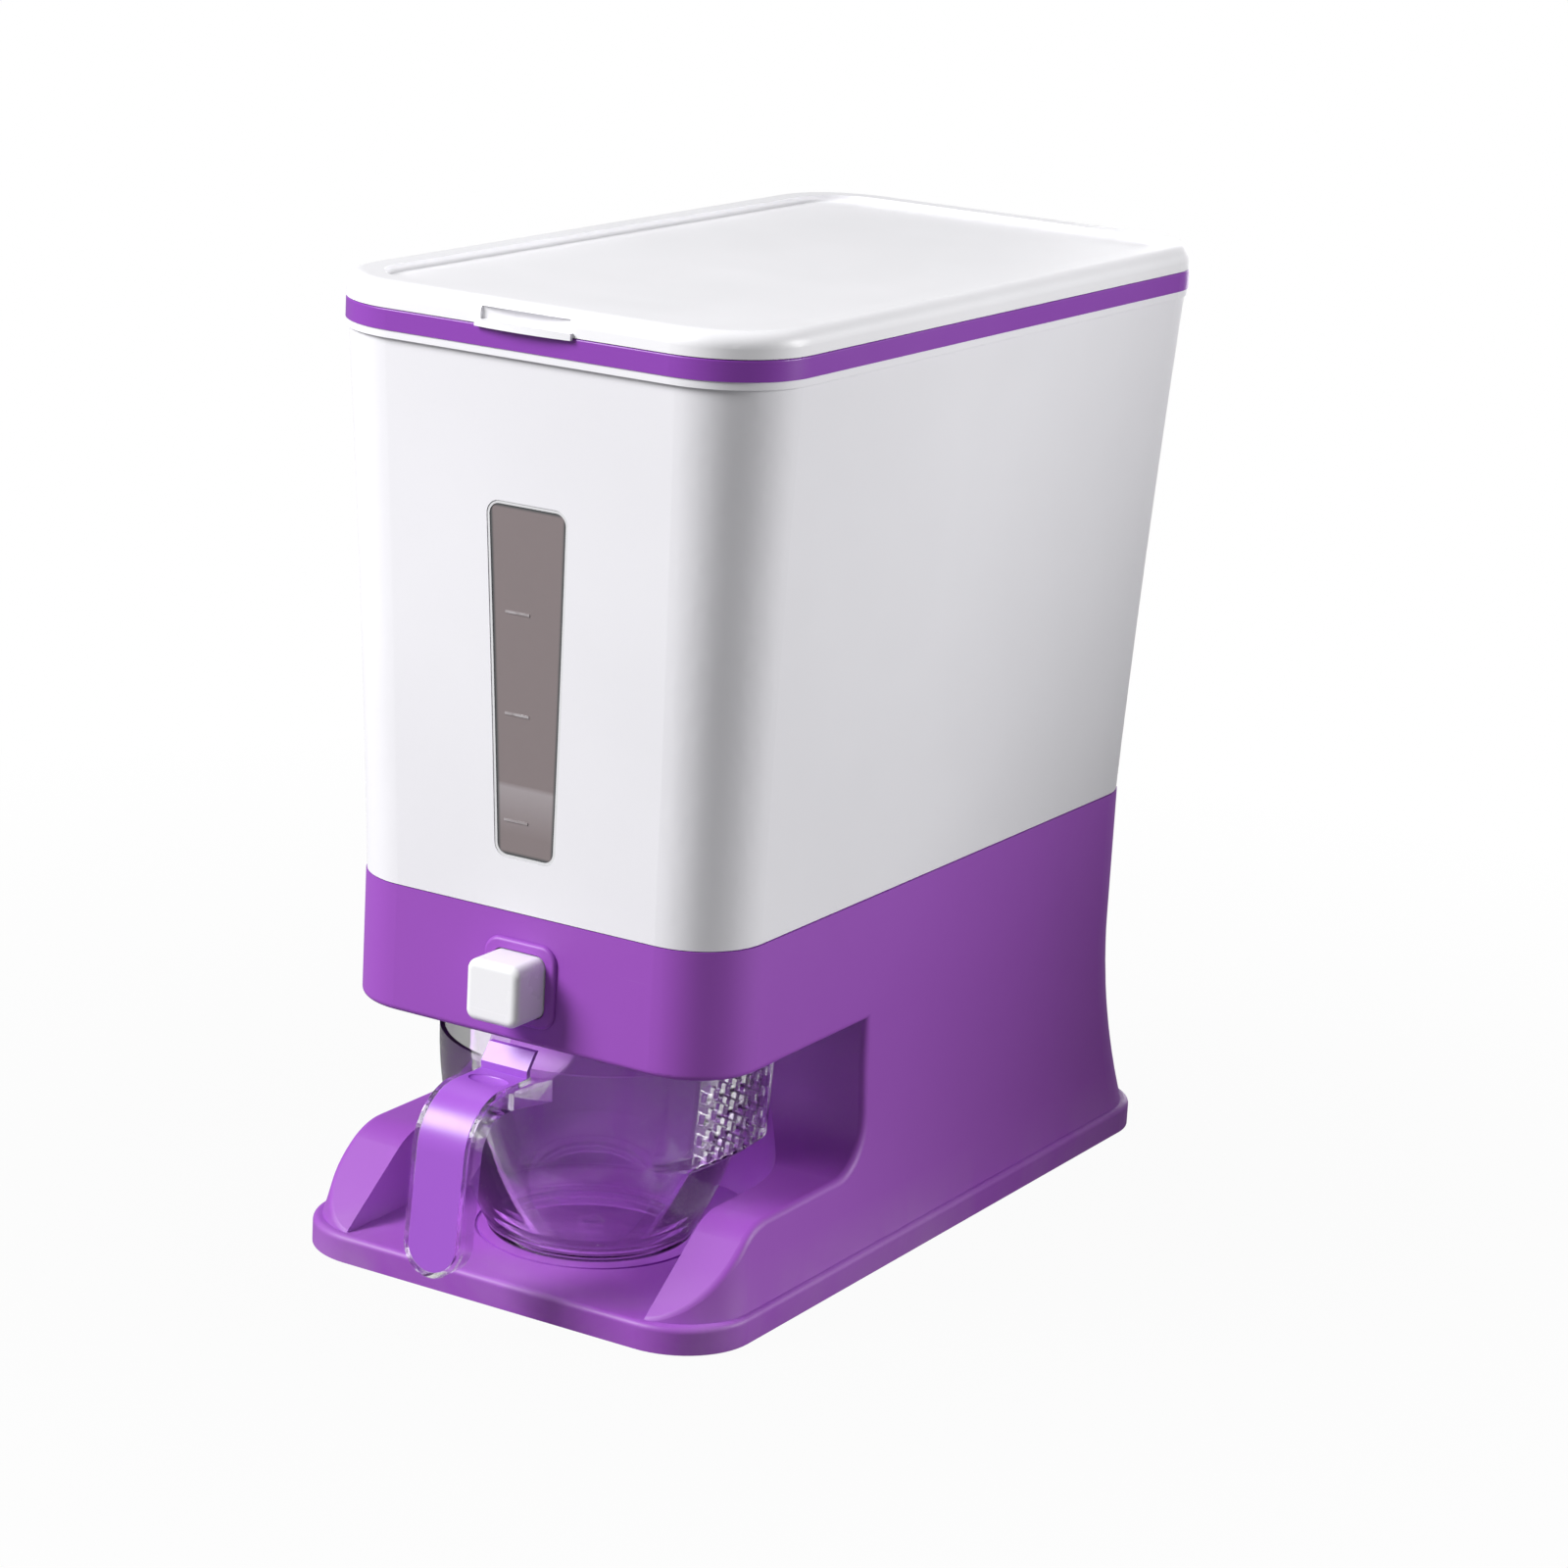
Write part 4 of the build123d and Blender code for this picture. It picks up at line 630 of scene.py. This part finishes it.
pad_rubber = moulded_plastic(
    "dark_rubber", colour=(0.06, 0.06, 0.065), gloss=0.62, grain_scale=800.0,
    grain_depth=0.0001, smudge=0.12, rub=0.06, dust=0.5)
pane_group = build_pane_group()
# The smoky pane's band colour is a painted reflection
smoky_pane = pane_plastic(
    "smoky_pane", colour=(0.34, 0.285, 0.29), rim_colour=(0.12, 0.125, 0.13), mark_colour=(0.62, 0.58, 0.6),
    reflection_band_colour=(0.52, 0.47, 0.49), gloss=0.10, smudge=0.06, ior=1.49, clearness=0.3)
clear_jug, _, _ = clear_plastic(
    "clear_jug_plastic", colour=(0.99, 0.99, 0.993), gloss=0.01, smudge=0.02, ior=1.3, clearness=1.0,
    thin_share=0.62)
plated_steel = brushed_steel("plated_steel")
flag_black = moulded_plastic(
    "flag_black", colour=(0.01, 0.01, 0.01), gloss=0.8, grain_scale=300.0,
    grain_depth=0.0001, smudge=0.05, rub=0.0, dust=0.0)

looks = {
    "purple_shell": purple_shell, "purple_band": purple_band, "white_shell": white_shell,
    "white_lid": white_lid, "white_button": white_button, "grey_plastic": grey_plastic,
    "smoky_pane": smoky_pane, "seal": seal_rubber, "rubber_pad": pad_rubber, "clear_jug": clear_jug,
    "steel": plated_steel,
}
node_looks = {"rim_collar": purple_collar}


def dress_nodes():
    """Every CAD node takes the material of its slot in the record, or its own."""
    slots = {part["node"]: part["material_slot"] for part in frame["record"]["subparts"]}
    for name, node in nodes.items():
        node.data.materials.clear()
        node.data.materials.append(node_looks.get(name, looks[slots[name]]))


dress_nodes()
drawn_spring("return_spring_coil", plated_steel)
gate_mark("jug_gate_mark", clear_jug)
add_floor(white_to_camera("floor_white", colour=(0.2, 0.2, 0.2), near_share=0.96))
add_world(fill=0.2)
add_camera()
add_lamp("left_softbox", place=(-1.62, -1.95, 2.02), target=middle, width=1.3, height=1.5,
         power=130.0, spread=180.0)
add_lamp("right_softbox", place=(1.72, 0.95, 0.8), target=right_side, width=0.7, height=1.0,
         power=8.1, spread=90.0)
add_lamp("back_softbox", place=(-0.5, 2.6, 0.45), target=middle, width=1.2, height=0.9,
         power=17.0, spread=180.0)
add_flag("right_flag", corners=[
    (flag_x, 0.267, flag_low), (flag_x, flag_rear, flag_low), (flag_x, flag_rear, flag_top),
    (flag_x, 0.557, flag_top)])

bpy.context.scene.view_settings.view_transform = "Standard"
